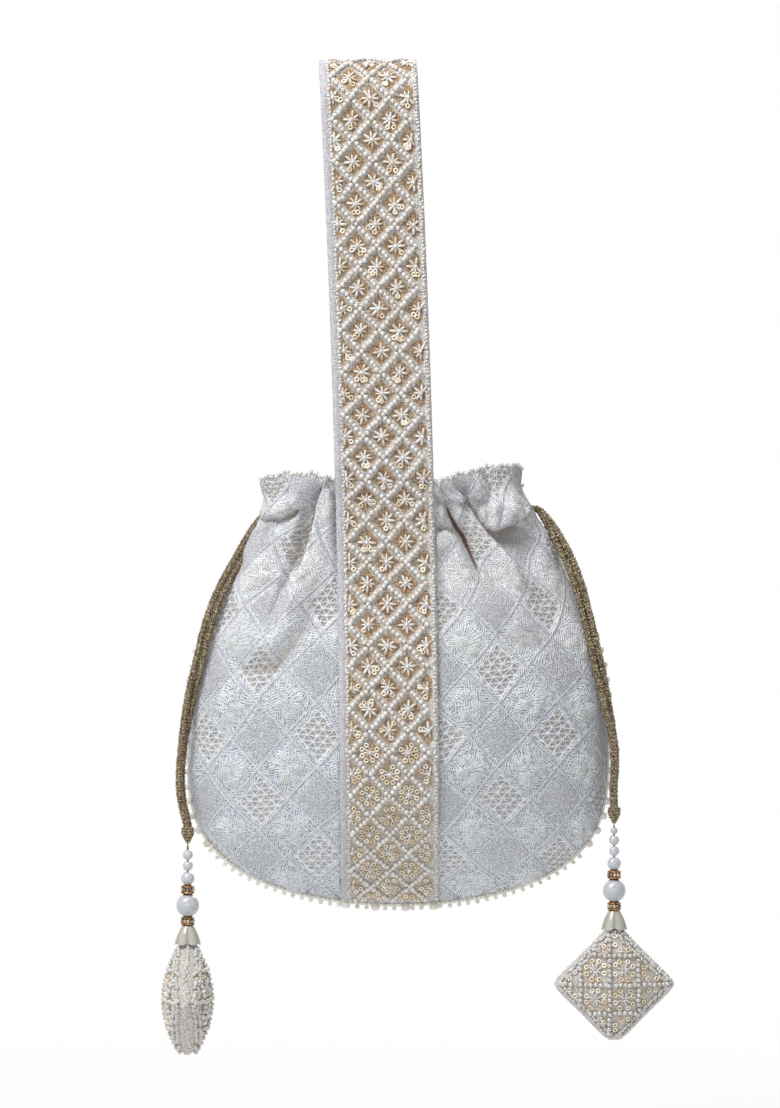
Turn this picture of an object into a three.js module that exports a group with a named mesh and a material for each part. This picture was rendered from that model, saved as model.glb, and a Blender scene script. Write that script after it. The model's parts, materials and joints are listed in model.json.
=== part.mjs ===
// A potli: a gathered evening pouch that hangs from one broad beaded strap. Two zari drawcords close the
// mouth, and each ends in a string of beads with a padded charm. Millimetres, +Z up, front towards -Y.
// The origin is the underside of the strap at the top of its arch, where the bag hangs.
import * as THREE from 'three';

// Clearances
const TOUCH_GAP = 0.3; // between pieces that touch
const STRAP_GAP = 0.5; // between the strap and the curved panel under it
const LINING_GAP = 0.8; // between the lining and the panels

// Bag body
const BAG_X = 16; // the bag's middle, right of the hanging point
const BAG_BOTTOM_Z = -447;
const BELLY_HEIGHT = 86; // height of the widest place above the bottom
const BELLY_HALF_WIDTH = 111;
const BELLY_HALF_DEPTH = 40;
const BELLY_ROUNDNESS = 2.8; // higher is squarer
const SHOULDER_HEIGHT = 122; // from the widest place to the middle of the drawcord casing
const CASING_HALF_HEIGHT = 7;
const WAIST_HALF_WIDTH = 70;
const WAIST_HALF_DEPTH = 26;
const SHOULDER_POWER = 2.4; // higher keeps the shoulder wide for longer
const RUFFLE_HEIGHT = 25; // the ruffle's edge above the middle of the casing
const MOUTH_HALF_WIDTH = 73;
const MOUTH_HALF_DEPTH = 29;
const PANEL_THICKNESS = 1.4;
const LINING_THICKNESS = 1;
const LINING_FLOOR_HEIGHT = 8;
const LINING_RIM_DROP = 3; // below the ruffle's edge
const SLIT_POWER = 8; // how closely the cord slit keeps to the side seam
const LEAST_INNER_DEPTH = 0.25; // share of the depth that the panels' inner face keeps near the bottom

// Gathers
const FOLD_LENGTH = 88; // how far below the casing the folds fade out
const CASING_FOLD_DEPTH = 4;
const RUFFLE_FOLD_DEPTH = 6.5;
const FOLDS_PER_SIDE = 2;

// Beaded strap
const STRAP_WIDTH = 52;
const STRAP_LEAN = 11.7; // sideways, from the hanging point to the bottom
const STRAP_THICKNESS = 1.8;
const STRAP_END_HEIGHT = 3; // the strap's ends above the bag's bottom
const PEARL_RIDGE_HEIGHT = 1.5;
const PEARL_RIDGE_INSET = 0.26; // share of a diamond taken by its ridges' slopes
const DIAMOND_WIDTH = 20.4;
const DIAMOND_HEIGHT = 22.5;
const ARCH_RADIUS = 23;
const BACKING_WIDTH = 50;
const BACKING_THICKNESS = 1;
const BACKING_LIFT = 4; // its ends above the ruffle

// Pearl string on the side seam
const SEAM_PEARL_RADIUS = 2.1;
const SEAM_PEARL_PITCH = 8;
const SEAM_THREAD_RADIUS = 0.7;
const SEAM_STRING_TOP = 12; // its ends below the casing

// Drawcords
const CORD_DIAMETER = 3.4;
const CORD_SIDES = 8;
const CORD_STEP = 7.5;
const CORD_PITCH = 4.1; // between two strands side by side
const STRAND_TURN_POINTS = 3; // route points over which the two strands come to lie side by side
const CORD_LEVEL_STEP = 2.2; // each drawcord above or below the middle of the casing
const CORD_END_GAP = 0.6;
const CORD_SLIT_HALF_WIDTH = 4.4;
const CASING_SLACK = 1.6; // spare room for the drawcords in the casing
const EXIT_LEAD = 2; // straight stretch inside the slit

// The strands' middle line down to the knot, from the middle of the bag's casing: x, y, z
const LEFT_TAIL_ROUTE = [
  [-72, 0, -2.2], [-74.6, 0, -2.4], [-78.2, -3, -7], [-81.8, -6.5, -14], [-86.8, -9.4, -24],
  [-92, -11.4, -35], [-96.3, -12.6, -46], [-100, -13.4, -57], [-103, -13.9, -68], [-105.5, -14, -79],
  [-108.3, -13.8, -90], [-110.6, -13.4, -101], [-112.6, -13, -112], [-114.2, -12.7, -123],
  [-115.2, -12.5, -133], [-115.5, -12.5, -143], [-114.9, -12.5, -151.5], [-113.2, -12.5, -159.5],
  [-111.8, -12.5, -165], [-111.6, -12.5, -168.1],
];
const RIGHT_TAIL_ROUTE = [
  [72, 0, 2.2], [74.6, 0, 2], [78.2, -3, -2.2], [82, -6.5, -8.4], [87, -9.4, -17.4], [92.4, -11.4, -29],
  [96.4, -12.6, -40.6], [99.2, -13.4, -51.4], [101.8, -13.9, -62], [104.4, -14, -73],
  [106.8, -13.8, -83.5], [109, -13.4, -94], [111.3, -13, -105], [113.5, -12.7, -116],
  [114.8, -12.5, -127], [114.9, -12.5, -137], [114.3, -12.5, -146], [114.4, -12.5, -153],
  [114.6, -12.5, -157.5],
];

// Bead strings and charms
const KNOT_HEIGHT = 6.5;
const KNOT_RADIUS = 3.9;
const KNOT_LOWER_RADIUS = 3.1;
const KNOT_WAIST_RADIUS = 2.6;
const KNOT_TIP_RADIUS = 1;
const THREAD_RADIUS = 0.5;
const THREAD_TIP_LENGTH = 1.6; // the thread tapers into the knot
const THREAD_TIP_RADIUS = 0.12;
const LEFT_BARE_THREAD = 3.2;
const RIGHT_BARE_THREAD = 1.8;
const TINY_PEARL_RADIUS = 1.9;
const SMALL_PEARL_RADIUS = 2.75;
const MEDIUM_PEARL_RADIUS = 3.6;
const LARGE_PEARL_RADIUS = 6;
const RONDELLE_RADIUS = 3.85;
const RONDELLE_HEIGHT = 4.1;
const CAP_RADIUS = 6.4;
const CAP_NECK_RADIUS = 3.2;
const CAP_HEIGHT = 9.8;
const CAP_NECK_HEIGHT = 3.3;
const CAP_SHOULDER_HEIGHT = 6.5;
const CAP_SHOULDER_RADIUS = 5.6;
const CAP_WALL = 1.1;
const CAP_FLUTES = 8;
const CAP_FLUTE_DEPTH = 0.09;
const CHARM_HALF_DIAGONAL = 33;
const CHARM_THICKNESS = 24;
const CHARM_RIM = 2.4;
const CHARM_PULL_IN = 0.07; // how far its sides draw in between the corners
const CHARM_TUCK = 4; // how far its top corner sits inside the cap

// Fineness of the meshes
const PANEL_COLUMNS = 32;
const LINING_COLUMNS = 20;
const LATHE_SEGMENTS = 10;
const CHARM_CELLS = 6;
const PEARL_PROFILE_STEPS = 5;

const CASING_HEIGHT = BELLY_HEIGHT + SHOULDER_HEIGHT;
const CASING_LOW = CASING_HEIGHT - CASING_HALF_HEIGHT;
const CASING_HIGH = CASING_HEIGHT + CASING_HALF_HEIGHT;
const CASING_Z = BAG_BOTTOM_Z + CASING_HEIGHT;
const MOUTH_HEIGHT = CASING_HEIGHT + RUFFLE_HEIGHT;
const MOUTH_Z = BAG_BOTTOM_Z + MOUTH_HEIGHT;
const CORD_RADIUS = CORD_DIAMETER / 2;
const BORE_RADIUS = THREAD_RADIUS + TOUCH_GAP;
const { clamp, lerp: mix, smoothstep } = THREE.MathUtils;

// A solid from its corner points and its faces of three or four corners
function solid(points, faces) {
  const geometry = new THREE.BufferGeometry();
  geometry.setAttribute('position', new THREE.Float32BufferAttribute(points.flat(), 3));
  geometry.setIndex(faces.flatMap(([a, b, c, d]) => (d === undefined ? [a, b, c] : [a, b, c, a, c, d])));
  geometry.computeVertexNormals();
  return geometry;
}

// The bag's outline and depth at a height above its bottom
function halfWidth(height) {
  if (height < BELLY_HEIGHT) {
    const below = (BELLY_HEIGHT - height) / BELLY_HEIGHT;
    return BELLY_HALF_WIDTH * Math.sqrt(Math.max(0, 1 - below ** BELLY_ROUNDNESS));
  }
  if (height < CASING_LOW) {
    const above = (height - BELLY_HEIGHT) / (CASING_LOW - BELLY_HEIGHT);
    return mix(BELLY_HALF_WIDTH, WAIST_HALF_WIDTH, above ** SHOULDER_POWER);
  }
  return mix(WAIST_HALF_WIDTH, MOUTH_HALF_WIDTH, smoothstep(height, CASING_HIGH, MOUTH_HEIGHT));
}

function halfDepth(height) {
  if (height < BELLY_HEIGHT) {
    return BELLY_HALF_DEPTH * (1 - ((BELLY_HEIGHT - height) / BELLY_HEIGHT) ** 2);
  }
  if (height < CASING_LOW) {
    return mix(BELLY_HALF_DEPTH, WAIST_HALF_DEPTH, smoothstep(height, BELLY_HEIGHT, CASING_LOW));
  }
  return mix(WAIST_HALF_DEPTH, MOUTH_HALF_DEPTH, smoothstep(height, CASING_HIGH, MOUTH_HEIGHT));
}

// The outline's inward direction in the plane of the side seam: share across and share up
function inward(height) {
  const step = 0.05;
  const low = Math.max(0, height - step);
  const rise = height + step - low;
  const widening = halfWidth(height + step) - halfWidth(low);
  const length = Math.hypot(rise, widening);
  return { across: rise / length, up: widening / length };
}

// How deep the gathers are at a height
function foldDepth(height) {
  const above = height - CASING_HEIGHT;
  if (above < -FOLD_LENGTH) return 0;
  if (above < 0) return CASING_FOLD_DEPTH * (1 + above / FOLD_LENGTH) ** 2;
  return mix(CASING_FOLD_DEPTH, RUFFLE_FOLD_DEPTH, above / RUFFLE_HEIGHT);
}

function strapX(z) {
  return STRAP_LEAN * (1 - (1 - z / BAG_BOTTOM_Z) ** 2);
}

// The gathers run between the strap, which keeps the cloth flat, and the side seams
function gather(across, height) {
  const depth = foldDepth(height);
  const fromStrap = across + BAG_X - strapX(BAG_BOTTOM_Z + height);
  const free = Math.abs(fromStrap) - STRAP_WIDTH / 2;
  if (depth === 0 || free <= 0) return 0;
  const seam = halfWidth(height) + Math.sign(fromStrap) * (BAG_X - strapX(BAG_BOTTOM_Z + height));
  const share = Math.min(1, free / (seam - STRAP_WIDTH / 2));
  const fade = Math.sqrt(Math.max(0, 4 * share * (1 - share)));
  return -depth * fade * Math.sin(2 * Math.PI * FOLDS_PER_SIDE * share);
}

// Half the opening between the two panels at the side seam: sewn below, slit where the drawcords come out
function seamHalfGap(height) {
  const opening = smoothstep(height, CASING_LOW - CASING_HALF_HEIGHT, CASING_LOW);
  return mix(TOUCH_GAP / 2, CORD_SLIT_HALF_WIDTH, opening);
}

// A point of a panel: turn runs from one side seam (-90 degrees) to the other, inset goes into the wall
function panelPoint(turn, height, inset, side) {
  const lean = inward(height);
  const across = Math.sin(turn);
  const width = halfWidth(height);
  const fold = gather(width * across, height);
  const outer = halfDepth(height);
  const depth = Math.max(outer - inset, outer * LEAST_INNER_DEPTH) + fold;
  const slit = seamHalfGap(height) * Math.abs(across) ** SLIT_POWER + TOUCH_GAP / 2;
  return [
    BAG_X + (width - inset * lean.across + fold) * across,
    side * (slit + depth * Math.max(0, Math.cos(turn))),
    BAG_BOTTOM_Z + height + inset * lean.up,
  ];
}

// Heights of the panels' rows: close together at the round bottom and at the gathers
function panelHeights() {
  const bottomRows = 6;
  const shoulderRows = 6;
  const heights = [];
  for (let row = 1; row <= bottomRows; row += 1) {
    heights.push(BELLY_HEIGHT * (1 - Math.cos((Math.PI / 2) * (row / bottomRows))));
  }
  for (let row = 1; row < shoulderRows; row += 1) {
    heights.push(mix(BELLY_HEIGHT, CASING_LOW - CASING_HALF_HEIGHT, row / (shoulderRows - 1)));
  }
  const ruffleMiddle = (CASING_HIGH + MOUTH_HEIGHT) / 2;
  return [...heights, CASING_LOW, CASING_HEIGHT, CASING_HIGH, ruffleMiddle, MOUTH_HEIGHT];
}

function panel(side) {
  const heights = panelHeights();
  const points = [];
  const layers = [0, PANEL_THICKNESS].map((inset) => {
    const pole = points.push(panelPoint(0, 0, inset, side)) - 1;
    const rows = heights.map((height) => {
      const row = [];
      for (let column = 0; column <= PANEL_COLUMNS; column += 1) {
        const turn = Math.PI * (column / PANEL_COLUMNS - 0.5);
        row.push(points.push(panelPoint(turn, height, inset, side)) - 1);
      }
      return row;
    });
    return { pole, rows };
  });
  const faces = [];
  const [outer, inner] = layers;
  for (const [layer, flip] of [[outer, false], [inner, true]]) {
    const add = (...face) => faces.push(flip ? face.reverse() : face);
    for (let column = 0; column < PANEL_COLUMNS; column += 1) {
      add(layer.pole, layer.rows[0][column + 1], layer.rows[0][column]);
      for (let row = 0; row + 1 < layer.rows.length; row += 1) {
        const low = layer.rows[row];
        const high = layer.rows[row + 1];
        add(low[column], low[column + 1], high[column + 1], high[column]);
      }
    }
  }
  const rim = (edge) => [edge(outer), edge(inner)];
  const boundary = [
    ...heights.map((_, row) => rim((layer) => layer.rows[row][0])).reverse(),
    rim((layer) => layer.pole),
    ...heights.map((_, row) => rim((layer) => layer.rows[row][PANEL_COLUMNS])),
    ...outer.rows.at(-1).map((_, i) => rim((layer) => layer.rows.at(-1)[i])).slice(1, -1).reverse(),
  ];
  boundary.forEach(([out, into], i) => {
    const [nextOut, nextInto] = boundary[(i + 1) % boundary.length];
    faces.push([out, into, nextInto, nextOut]);
  });
  return solid(points, side < 0 ? faces : faces.map((face) => face.reverse()));
}

// How far inside the bag's outline the lining lies: clear of the gathers and of the drawcords
function liningInset(height) {
  const cords = CORD_DIAMETER + CASING_SLACK;
  const nearness = 1 - Math.min(1, Math.abs(height - CASING_HEIGHT) / (2 * CASING_HALF_HEIGHT));
  return PANEL_THICKNESS + LINING_GAP + foldDepth(height) + cords * Math.min(1, 2 * nearness);
}

function lining() {
  const heights = panelHeights().slice(1, -1);
  heights.push(MOUTH_HEIGHT - LINING_RIM_DROP);
  const points = [];
  const layers = [0, LINING_THICKNESS].map((inset) => {
    const pole = points.push([BAG_X, 0, BAG_BOTTOM_Z + LINING_FLOOR_HEIGHT + inset]) - 1;
    const rows = heights.map((height) => {
      const lean = inward(height);
      const offset = liningInset(height) + inset;
      const row = [];
      for (let column = 0; column < LINING_COLUMNS; column += 1) {
        const turn = (2 * Math.PI * column) / LINING_COLUMNS;
        row.push(points.push([
          BAG_X + (halfWidth(height) - offset * lean.across) * Math.sin(turn),
          -(halfDepth(height) - offset) * Math.cos(turn),
          BAG_BOTTOM_Z + height + offset * Math.max(0, lean.up),
        ]) - 1);
      }
      return row;
    });
    return { pole, rows };
  });
  const faces = [];
  for (const [layer, flip] of [[layers[0], false], [layers[1], true]]) {
    const add = (...face) => faces.push(flip ? face.reverse() : face);
    for (let column = 0; column < LINING_COLUMNS; column += 1) {
      const next = (column + 1) % LINING_COLUMNS;
      add(layer.pole, layer.rows[0][next], layer.rows[0][column]);
      for (let row = 0; row + 1 < layer.rows.length; row += 1) {
        const low = layer.rows[row];
        const high = layer.rows[row + 1];
        add(low[column], low[next], high[next], high[column]);
      }
    }
  }
  const [outerRim, innerRim] = layers.map((layer) => layer.rows.at(-1));
  for (let column = 0; column < LINING_COLUMNS; column += 1) {
    const next = (column + 1) % LINING_COLUMNS;
    faces.push([outerRim[column], outerRim[next], innerRim[next], innerRim[column]]);
  }
  return solid(points, faces);
}

// The underside of the strap seen from the side: up the front, over the arch and down the back
function strapPath() {
  const front = [STRAP_END_HEIGHT, ...panelHeights().slice(1)].map((height) => (
    new THREE.Vector3(0, -(halfDepth(height) + TOUCH_GAP / 2 + STRAP_GAP), BAG_BOTTOM_Z + height)
  ));
  const legs = 5;
  const mouthY = front.at(-1).y;
  for (let i = 1; i <= legs; i += 1) {
    const share = i / legs;
    front.push(new THREE.Vector3(0, mix(mouthY, -ARCH_RADIUS, share), mix(MOUTH_Z, -ARCH_RADIUS, share)));
  }
  const archSteps = 4;
  for (let i = 1; i < archSteps; i += 1) {
    const turn = (Math.PI / 2) * (i / archSteps);
    front.push(new THREE.Vector3(0, -ARCH_RADIUS * Math.cos(turn), ARCH_RADIUS * (Math.sin(turn) - 1)));
  }
  const back = front.map((p) => new THREE.Vector3(0, -p.y, p.z)).reverse();
  return new THREE.CatmullRomCurve3([...front, new THREE.Vector3(0, 0, 0), ...back]);
}

// Stations along the strap, one for each half diamond: a point of the underside and the way out from it
function strapStations() {
  const path = strapPath();
  const count = 2 * Math.round(path.getLength() / DIAMOND_HEIGHT);
  return path.getSpacedPoints(count).map((point, i) => {
    const along = path.getTangentAt(i / count);
    return { point, out: new THREE.Vector3(0, -along.z, along.y) };
  });
}

function strapPoint(station, across, lift) {
  const { point, out } = station;
  return [strapX(point.z) + across, point.y + out.y * lift, point.z + out.z * lift];
}

// The band's pearl lattice: ridges between crossings, with each diamond's floor inset below them
function strapBand() {
  const stations = strapStations();
  const last = stations.length - 1;
  const edge = STRAP_WIDTH / 2;
  const ridge = STRAP_THICKNESS + PEARL_RIDGE_HEIGHT;
  const points = [];
  const faces = [];
  const put = (i, across, lift) => points.push(strapPoint(stations[i], across, lift)) - 1;
  const rows = stations.map((_, i) => {
    const odd = i % 2;
    const crossings = odd ? [-DIAMOND_WIDTH / 2, DIAMOND_WIDTH / 2] : [0];
    return {
      under: [-edge, edge].map((x) => put(i, x, 0)),
      hem: [-edge, edge].map((x) => put(i, x, STRAP_THICKNESS)),
      border: [-DIAMOND_WIDTH, DIAMOND_WIDTH].map((x) => put(i, x, ridge)),
      crossings: crossings.map((x) => put(i, x, ridge)),
    };
  });
  // one cell of the lattice: slopes from its corners down to an inset floor
  const cell = (corners) => {
    const centre = new THREE.Vector3();
    corners.forEach((c) => centre.add(new THREE.Vector3(...points[c.index])));
    centre.divideScalar(corners.length);
    const floor = corners.map((c) => {
      const raised = new THREE.Vector3(...points[c.index]).lerp(centre, PEARL_RIDGE_INSET);
      raised.addScaledVector(stations[c.row].out, -PEARL_RIDGE_HEIGHT);
      return points.push(raised.toArray()) - 1;
    });
    corners.forEach((c, i) => {
      const n = (i + 1) % corners.length;
      faces.push([c.index, corners[n].index, floor[n], floor[i]]);
    });
    faces.push(floor);
  };
  const corner = (row, index) => ({ row, index });
  const diamond = (i, below, right, above, left) => {
    cell([corner(i, below), corner(i + 1, right), corner(i + 2, above), corner(i + 1, left)]);
  };
  for (let i = 0; i < last; i += 1) {
    const low = rows[i];
    const high = rows[i + 1];
    faces.push([low.under[0], high.under[0], high.under[1], low.under[1]]);
    for (const [s, flip] of [[0, false], [1, true]]) {
      const add = (...face) => faces.push(flip ? face.reverse() : face);
      add(low.under[s], low.hem[s], high.hem[s], high.under[s]);
      add(low.hem[s], low.border[s], high.border[s], high.hem[s]);
    }
    if (i % 2 === 0) {
      const top = rows[i + 2];
      const [left, right] = high.crossings;
      diamond(i, low.crossings[0], right, top.crossings[0], left);
      diamond(i, low.border[0], left, top.border[0], high.border[0]);
      diamond(i, low.border[1], high.border[1], top.border[1], right);
    }
  }
  // diamonds beside the middle, cut in half at the strap's two ends
  for (let i = 0; i <= last; i += 2) {
    for (const s of [0, 1]) {
      const below = i > 0 ? [corner(i - 1, rows[i - 1].crossings[s])] : [];
      const above = i < last ? [corner(i + 1, rows[i + 1].crossings[s])] : [];
      const middle = corner(i, rows[i].crossings[0]);
      const border = corner(i, rows[i].border[s]);
      cell(s === 0 ? [...below, middle, ...above, border] : [...below, border, ...above, middle]);
    }
  }
  for (const [i, flip] of [[0, false], [last, true]]) {
    const { under, hem, border, crossings } = rows[i];
    const end = [under[0], under[1], hem[1], border[1], crossings[0], border[0], hem[0]];
    for (let k = 1; k + 1 < end.length; k += 1) {
      const face = [end[0], end[k], end[k + 1]];
      faces.push(flip ? face.reverse() : face);
    }
  }
  return solid(points, faces);
}

// The plain backing on the underside of the carrying loop
function strapBacking() {
  const stations = strapStations().filter(({ point }) => point.z > MOUTH_Z + BACKING_LIFT);
  const points = [];
  const faces = [];
  const half = BACKING_WIDTH / 2;
  stations.forEach((station) => {
    for (const [x, lift] of [[-half, 0], [half, 0], [half, 1], [-half, 1]]) {
      points.push(strapPoint(station, x, -TOUCH_GAP - BACKING_THICKNESS * (1 - lift)));
    }
  });
  for (let i = 0; i + 1 < stations.length; i += 1) {
    for (let k = 0; k < 4; k += 1) {
      const n = (k + 1) % 4;
      faces.push([4 * i + k, 4 * i + 4 + k, 4 * i + 4 + n, 4 * i + n]);
    }
  }
  const end = points.length - 4;
  faces.push([0, 1, 2, 3], [end + 3, end + 2, end + 1, end]);
  return solid(points, faces);
}

// The pearls along the side seam: a thread that swells into beads
function seamPearls() {
  const outline = [];
  const samples = 40;
  const top = CASING_LOW - SEAM_STRING_TOP;
  const offset = SEAM_PEARL_RADIUS + TOUCH_GAP;
  for (let i = -samples; i <= samples; i += 1) {
    const height = top * (1 - Math.cos((Math.PI / 2) * (Math.abs(i) / samples)));
    const lean = inward(height);
    const across = Math.sign(i) * (halfWidth(height) + offset * lean.across);
    outline.push(new THREE.Vector3(BAG_X + across, 0, BAG_BOTTOM_Z + height - offset * lean.up));
  }
  const path = new THREE.CatmullRomCurve3(outline);
  const pearls = Math.round(path.getLength() / SEAM_PEARL_PITCH);
  const rings = 2 * pearls;
  const sides = 5;
  const points = [];
  const faces = [];
  for (let i = 0; i <= rings; i += 1) {
    const centre = path.getPointAt(i / rings);
    const along = path.getTangentAt(i / rings);
    const radius = i % 2 ? SEAM_PEARL_RADIUS : SEAM_THREAD_RADIUS;
    for (let k = 0; k < sides; k += 1) {
      const turn = (2 * Math.PI * k) / sides;
      const aside = radius * Math.cos(turn);
      points.push([centre.x - along.z * aside, radius * Math.sin(turn), centre.z + along.x * aside]);
    }
  }
  for (let i = 0; i < rings; i += 1) {
    for (let k = 0; k < sides; k += 1) {
      const n = (k + 1) % sides;
      const ring = i * sides;
      faces.push([ring + k, ring + sides + k, ring + sides + n, ring + n]);
    }
  }
  for (let k = 1; k + 1 < sides; k += 1) {
    const end = rings * sides;
    faces.push([0, k, k + 1], [end, end + k + 1, end + k]);
  }
  return solid(points, faces);
}

// A cord: a round section along a smooth route
function cord(route) {
  const path = new THREE.CatmullRomCurve3(route);
  const section = [];
  for (let k = 0; k < CORD_SIDES; k += 1) {
    const turn = (2 * Math.PI * k) / CORD_SIDES;
    section.push(new THREE.Vector2(CORD_RADIUS * Math.cos(turn), CORD_RADIUS * Math.sin(turn)));
  }
  const steps = Math.round(path.getLength() / CORD_STEP);
  const round = new THREE.Shape(section);
  return new THREE.ExtrudeGeometry(round, { extrudePath: path, steps, bevelEnabled: false });
}

// One strand of a pair hanging side by side: strand is -1 or 1
function tailStrand(route, strand) {
  const path = new THREE.CatmullRomCurve3(route.map((p) => new THREE.Vector3(...p)));
  const last = route.length - 1;
  return cord(route.map((p, i) => {
    const along = path.getTangent(i / last);
    const aside = (strand * CORD_PITCH) / 2;
    const turn = (Math.PI / 2) * clamp((i - 1) / STRAND_TURN_POINTS, 0, 1);
    return new THREE.Vector3(
      p[0] - along.z * aside * Math.sin(turn),
      p[1] + aside * Math.cos(turn),
      p[2] + along.x * aside * Math.sin(turn),
    );
  }));
}

// A drawcord's run round the mouth, inside the casing: in and out through the slit on its own side
function casingRun(side, z, exit) {
  const inset = PANEL_THICKNESS + CASING_FOLD_DEPTH + TOUCH_GAP + CORD_RADIUS;
  const wide = WAIST_HALF_WIDTH - inset;
  const deep = WAIST_HALF_DEPTH - inset;
  const turns = 14;
  const open = Math.PI / 7;
  const slit = CORD_PITCH / 2;
  const route = [new THREE.Vector3(exit[0] - side * CORD_END_GAP, -slit, z)];
  route.push(new THREE.Vector3(BAG_X + side * (wide + EXIT_LEAD), -slit - TOUCH_GAP, z));
  for (let i = 0; i <= turns; i += 1) {
    const turn = mix(open, 2 * Math.PI - open, i / turns);
    route.push(new THREE.Vector3(BAG_X + side * wide * Math.cos(turn), -deep * Math.sin(turn), z));
  }
  route.push(new THREE.Vector3(BAG_X + side * (wide + EXIT_LEAD), slit + TOUCH_GAP, z));
  route.push(new THREE.Vector3(exit[0] - side * CORD_END_GAP, slit, z));
  return cord(route);
}

// A turned piece about +Z: profile points are radius and height
function turned(profile) {
  const outline = profile.map(([r, z]) => new THREE.Vector2(r, z));
  return new THREE.LatheGeometry(outline, LATHE_SEGMENTS).rotateX(Math.PI / 2);
}

// A pearl with its bore, its top at the origin
function pearl(radius) {
  const start = Math.asin(BORE_RADIUS / radius);
  const profile = [];
  for (let i = 0; i <= PEARL_PROFILE_STEPS; i += 1) {
    const turn = mix(start, Math.PI - start, i / PEARL_PROFILE_STEPS);
    profile.push([radius * Math.sin(turn), -radius - radius * Math.cos(turn)]);
  }
  return turned([...profile, profile[0]]);
}

function rondelle() {
  const bevel = RONDELLE_HEIGHT / 4;
  const face = RONDELLE_RADIUS - bevel / 2;
  const bottom = -RONDELLE_HEIGHT;
  return turned([
    [BORE_RADIUS, bottom], [face, bottom], [RONDELLE_RADIUS, bottom + bevel],
    [RONDELLE_RADIUS, -bevel], [face, 0], [BORE_RADIUS, 0], [BORE_RADIUS, bottom],
  ]);
}

// The fluted cap: a bell that the charm's top corner sits in
function petalCap() {
  const roof = -CAP_HEIGHT + CHARM_TUCK + TOUCH_GAP;
  const geometry = new THREE.LatheGeometry([
    [BORE_RADIUS, roof], [CAP_RADIUS - 2 * CAP_WALL, roof], [CAP_RADIUS - CAP_WALL, -CAP_HEIGHT],
    [CAP_RADIUS, -CAP_HEIGHT], [CAP_SHOULDER_RADIUS, -CAP_SHOULDER_HEIGHT],
    [CAP_NECK_RADIUS, -CAP_NECK_HEIGHT], [CAP_NECK_RADIUS, 0], [BORE_RADIUS, 0], [BORE_RADIUS, roof],
  ].map(([r, z]) => new THREE.Vector2(r, z)), 2 * CAP_FLUTES).rotateX(Math.PI / 2);
  const position = geometry.getAttribute('position');
  for (let i = 0; i < position.count; i += 1) {
    const radius = Math.hypot(position.getX(i), position.getY(i));
    const flare = Math.max(0, (radius - CAP_NECK_RADIUS) / (CAP_RADIUS - CAP_NECK_RADIUS));
    const turn = Math.atan2(position.getY(i), position.getX(i));
    const scale = 1 - CAP_FLUTE_DEPTH * flare * (0.5 - 0.5 * Math.cos(CAP_FLUTES * turn));
    position.setX(i, position.getX(i) * scale);
    position.setY(i, position.getY(i) * scale);
  }
  return geometry;
}

// The padded charm, a square hung by one corner, with its top corner at the origin
function charm() {
  const points = [];
  const faces = [];
  const at = (i) => (2 * i) / CHARM_CELLS - 1;
  const layers = [-1, 1].map((side) => {
    const grid = [];
    for (let i = 0; i <= CHARM_CELLS; i += 1) {
      const row = [];
      for (let j = 0; j <= CHARM_CELLS; j += 1) {
        const [a, b] = [at(i), at(j)];
        const drawnA = a * (1 - CHARM_PULL_IN * (1 - b * b));
        const drawnB = b * (1 - CHARM_PULL_IN * (1 - a * a));
        const swell = Math.sqrt((1 - a * a) * (1 - b * b));
        row.push(points.push([
          (CHARM_HALF_DIAGONAL * (drawnA - drawnB)) / 2,
          side * (mix(CHARM_RIM, CHARM_THICKNESS, swell) / 2),
          CHARM_HALF_DIAGONAL * ((drawnA + drawnB) / 2 - 1),
        ]) - 1);
      }
      grid.push(row);
    }
    return grid;
  });
  const [front, back] = layers;
  for (let i = 0; i < CHARM_CELLS; i += 1) {
    for (let j = 0; j < CHARM_CELLS; j += 1) {
      faces.push([front[i][j], front[i + 1][j], front[i + 1][j + 1], front[i][j + 1]]);
      faces.push([back[i][j], back[i][j + 1], back[i + 1][j + 1], back[i + 1][j]]);
    }
    const end = CHARM_CELLS;
    faces.push([front[i][0], back[i][0], back[i + 1][0], front[i + 1][0]]);
    faces.push([front[i + 1][end], back[i + 1][end], back[i][end], front[i][end]]);
    faces.push([front[0][i + 1], back[0][i + 1], back[0][i], front[0][i]]);
    faces.push([front[end][i], back[end][i], back[end][i + 1], front[end][i + 1]]);
  }
  return solid(points, faces);
}

// The knot under the two strands, with its flat top at the origin
function knot() {
  const wrap = KNOT_HEIGHT / 4;
  return turned([
    [0, -KNOT_HEIGHT], [KNOT_TIP_RADIUS, -KNOT_HEIGHT], [KNOT_LOWER_RADIUS, -3 * wrap],
    [KNOT_WAIST_RADIUS, -2 * wrap], [KNOT_RADIUS, -wrap], [KNOT_RADIUS, 0], [0, 0],
  ]);
}

function thread(length) {
  return turned([
    [0, -length], [THREAD_RADIUS, -length], [THREAD_RADIUS, -THREAD_TIP_LENGTH],
    [THREAD_TIP_RADIUS, 0], [0, 0],
  ]);
}

const FINISHES = {
  embroidery: { color: 0xe6e4e6, roughness: 0.9, metalness: 0 },
  lining: { color: 0xd9c9b4, roughness: 0.7, metalness: 0 },
  beadwork: { color: 0xd6c4ac, roughness: 0.55, metalness: 0 },
  backing: { color: 0xf0eeec, roughness: 0.85, metalness: 0 },
  pearl: { color: 0xf1ece4, roughness: 0.25, metalness: 0 },
  zari: { color: 0xb08d4f, roughness: 0.5, metalness: 0.4 },
  gold: { color: 0xd8b45c, roughness: 0.3, metalness: 1 },
  thread: { color: 0xd8c9a0, roughness: 0.8, metalness: 0 },
};

const potli = new THREE.Group();

function add(parent, name, geometry, finish) {
  const mesh = new THREE.Mesh(geometry, new THREE.MeshStandardMaterial(FINISHES[finish]));
  mesh.name = name;
  parent.add(mesh);
  return mesh;
}

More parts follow.
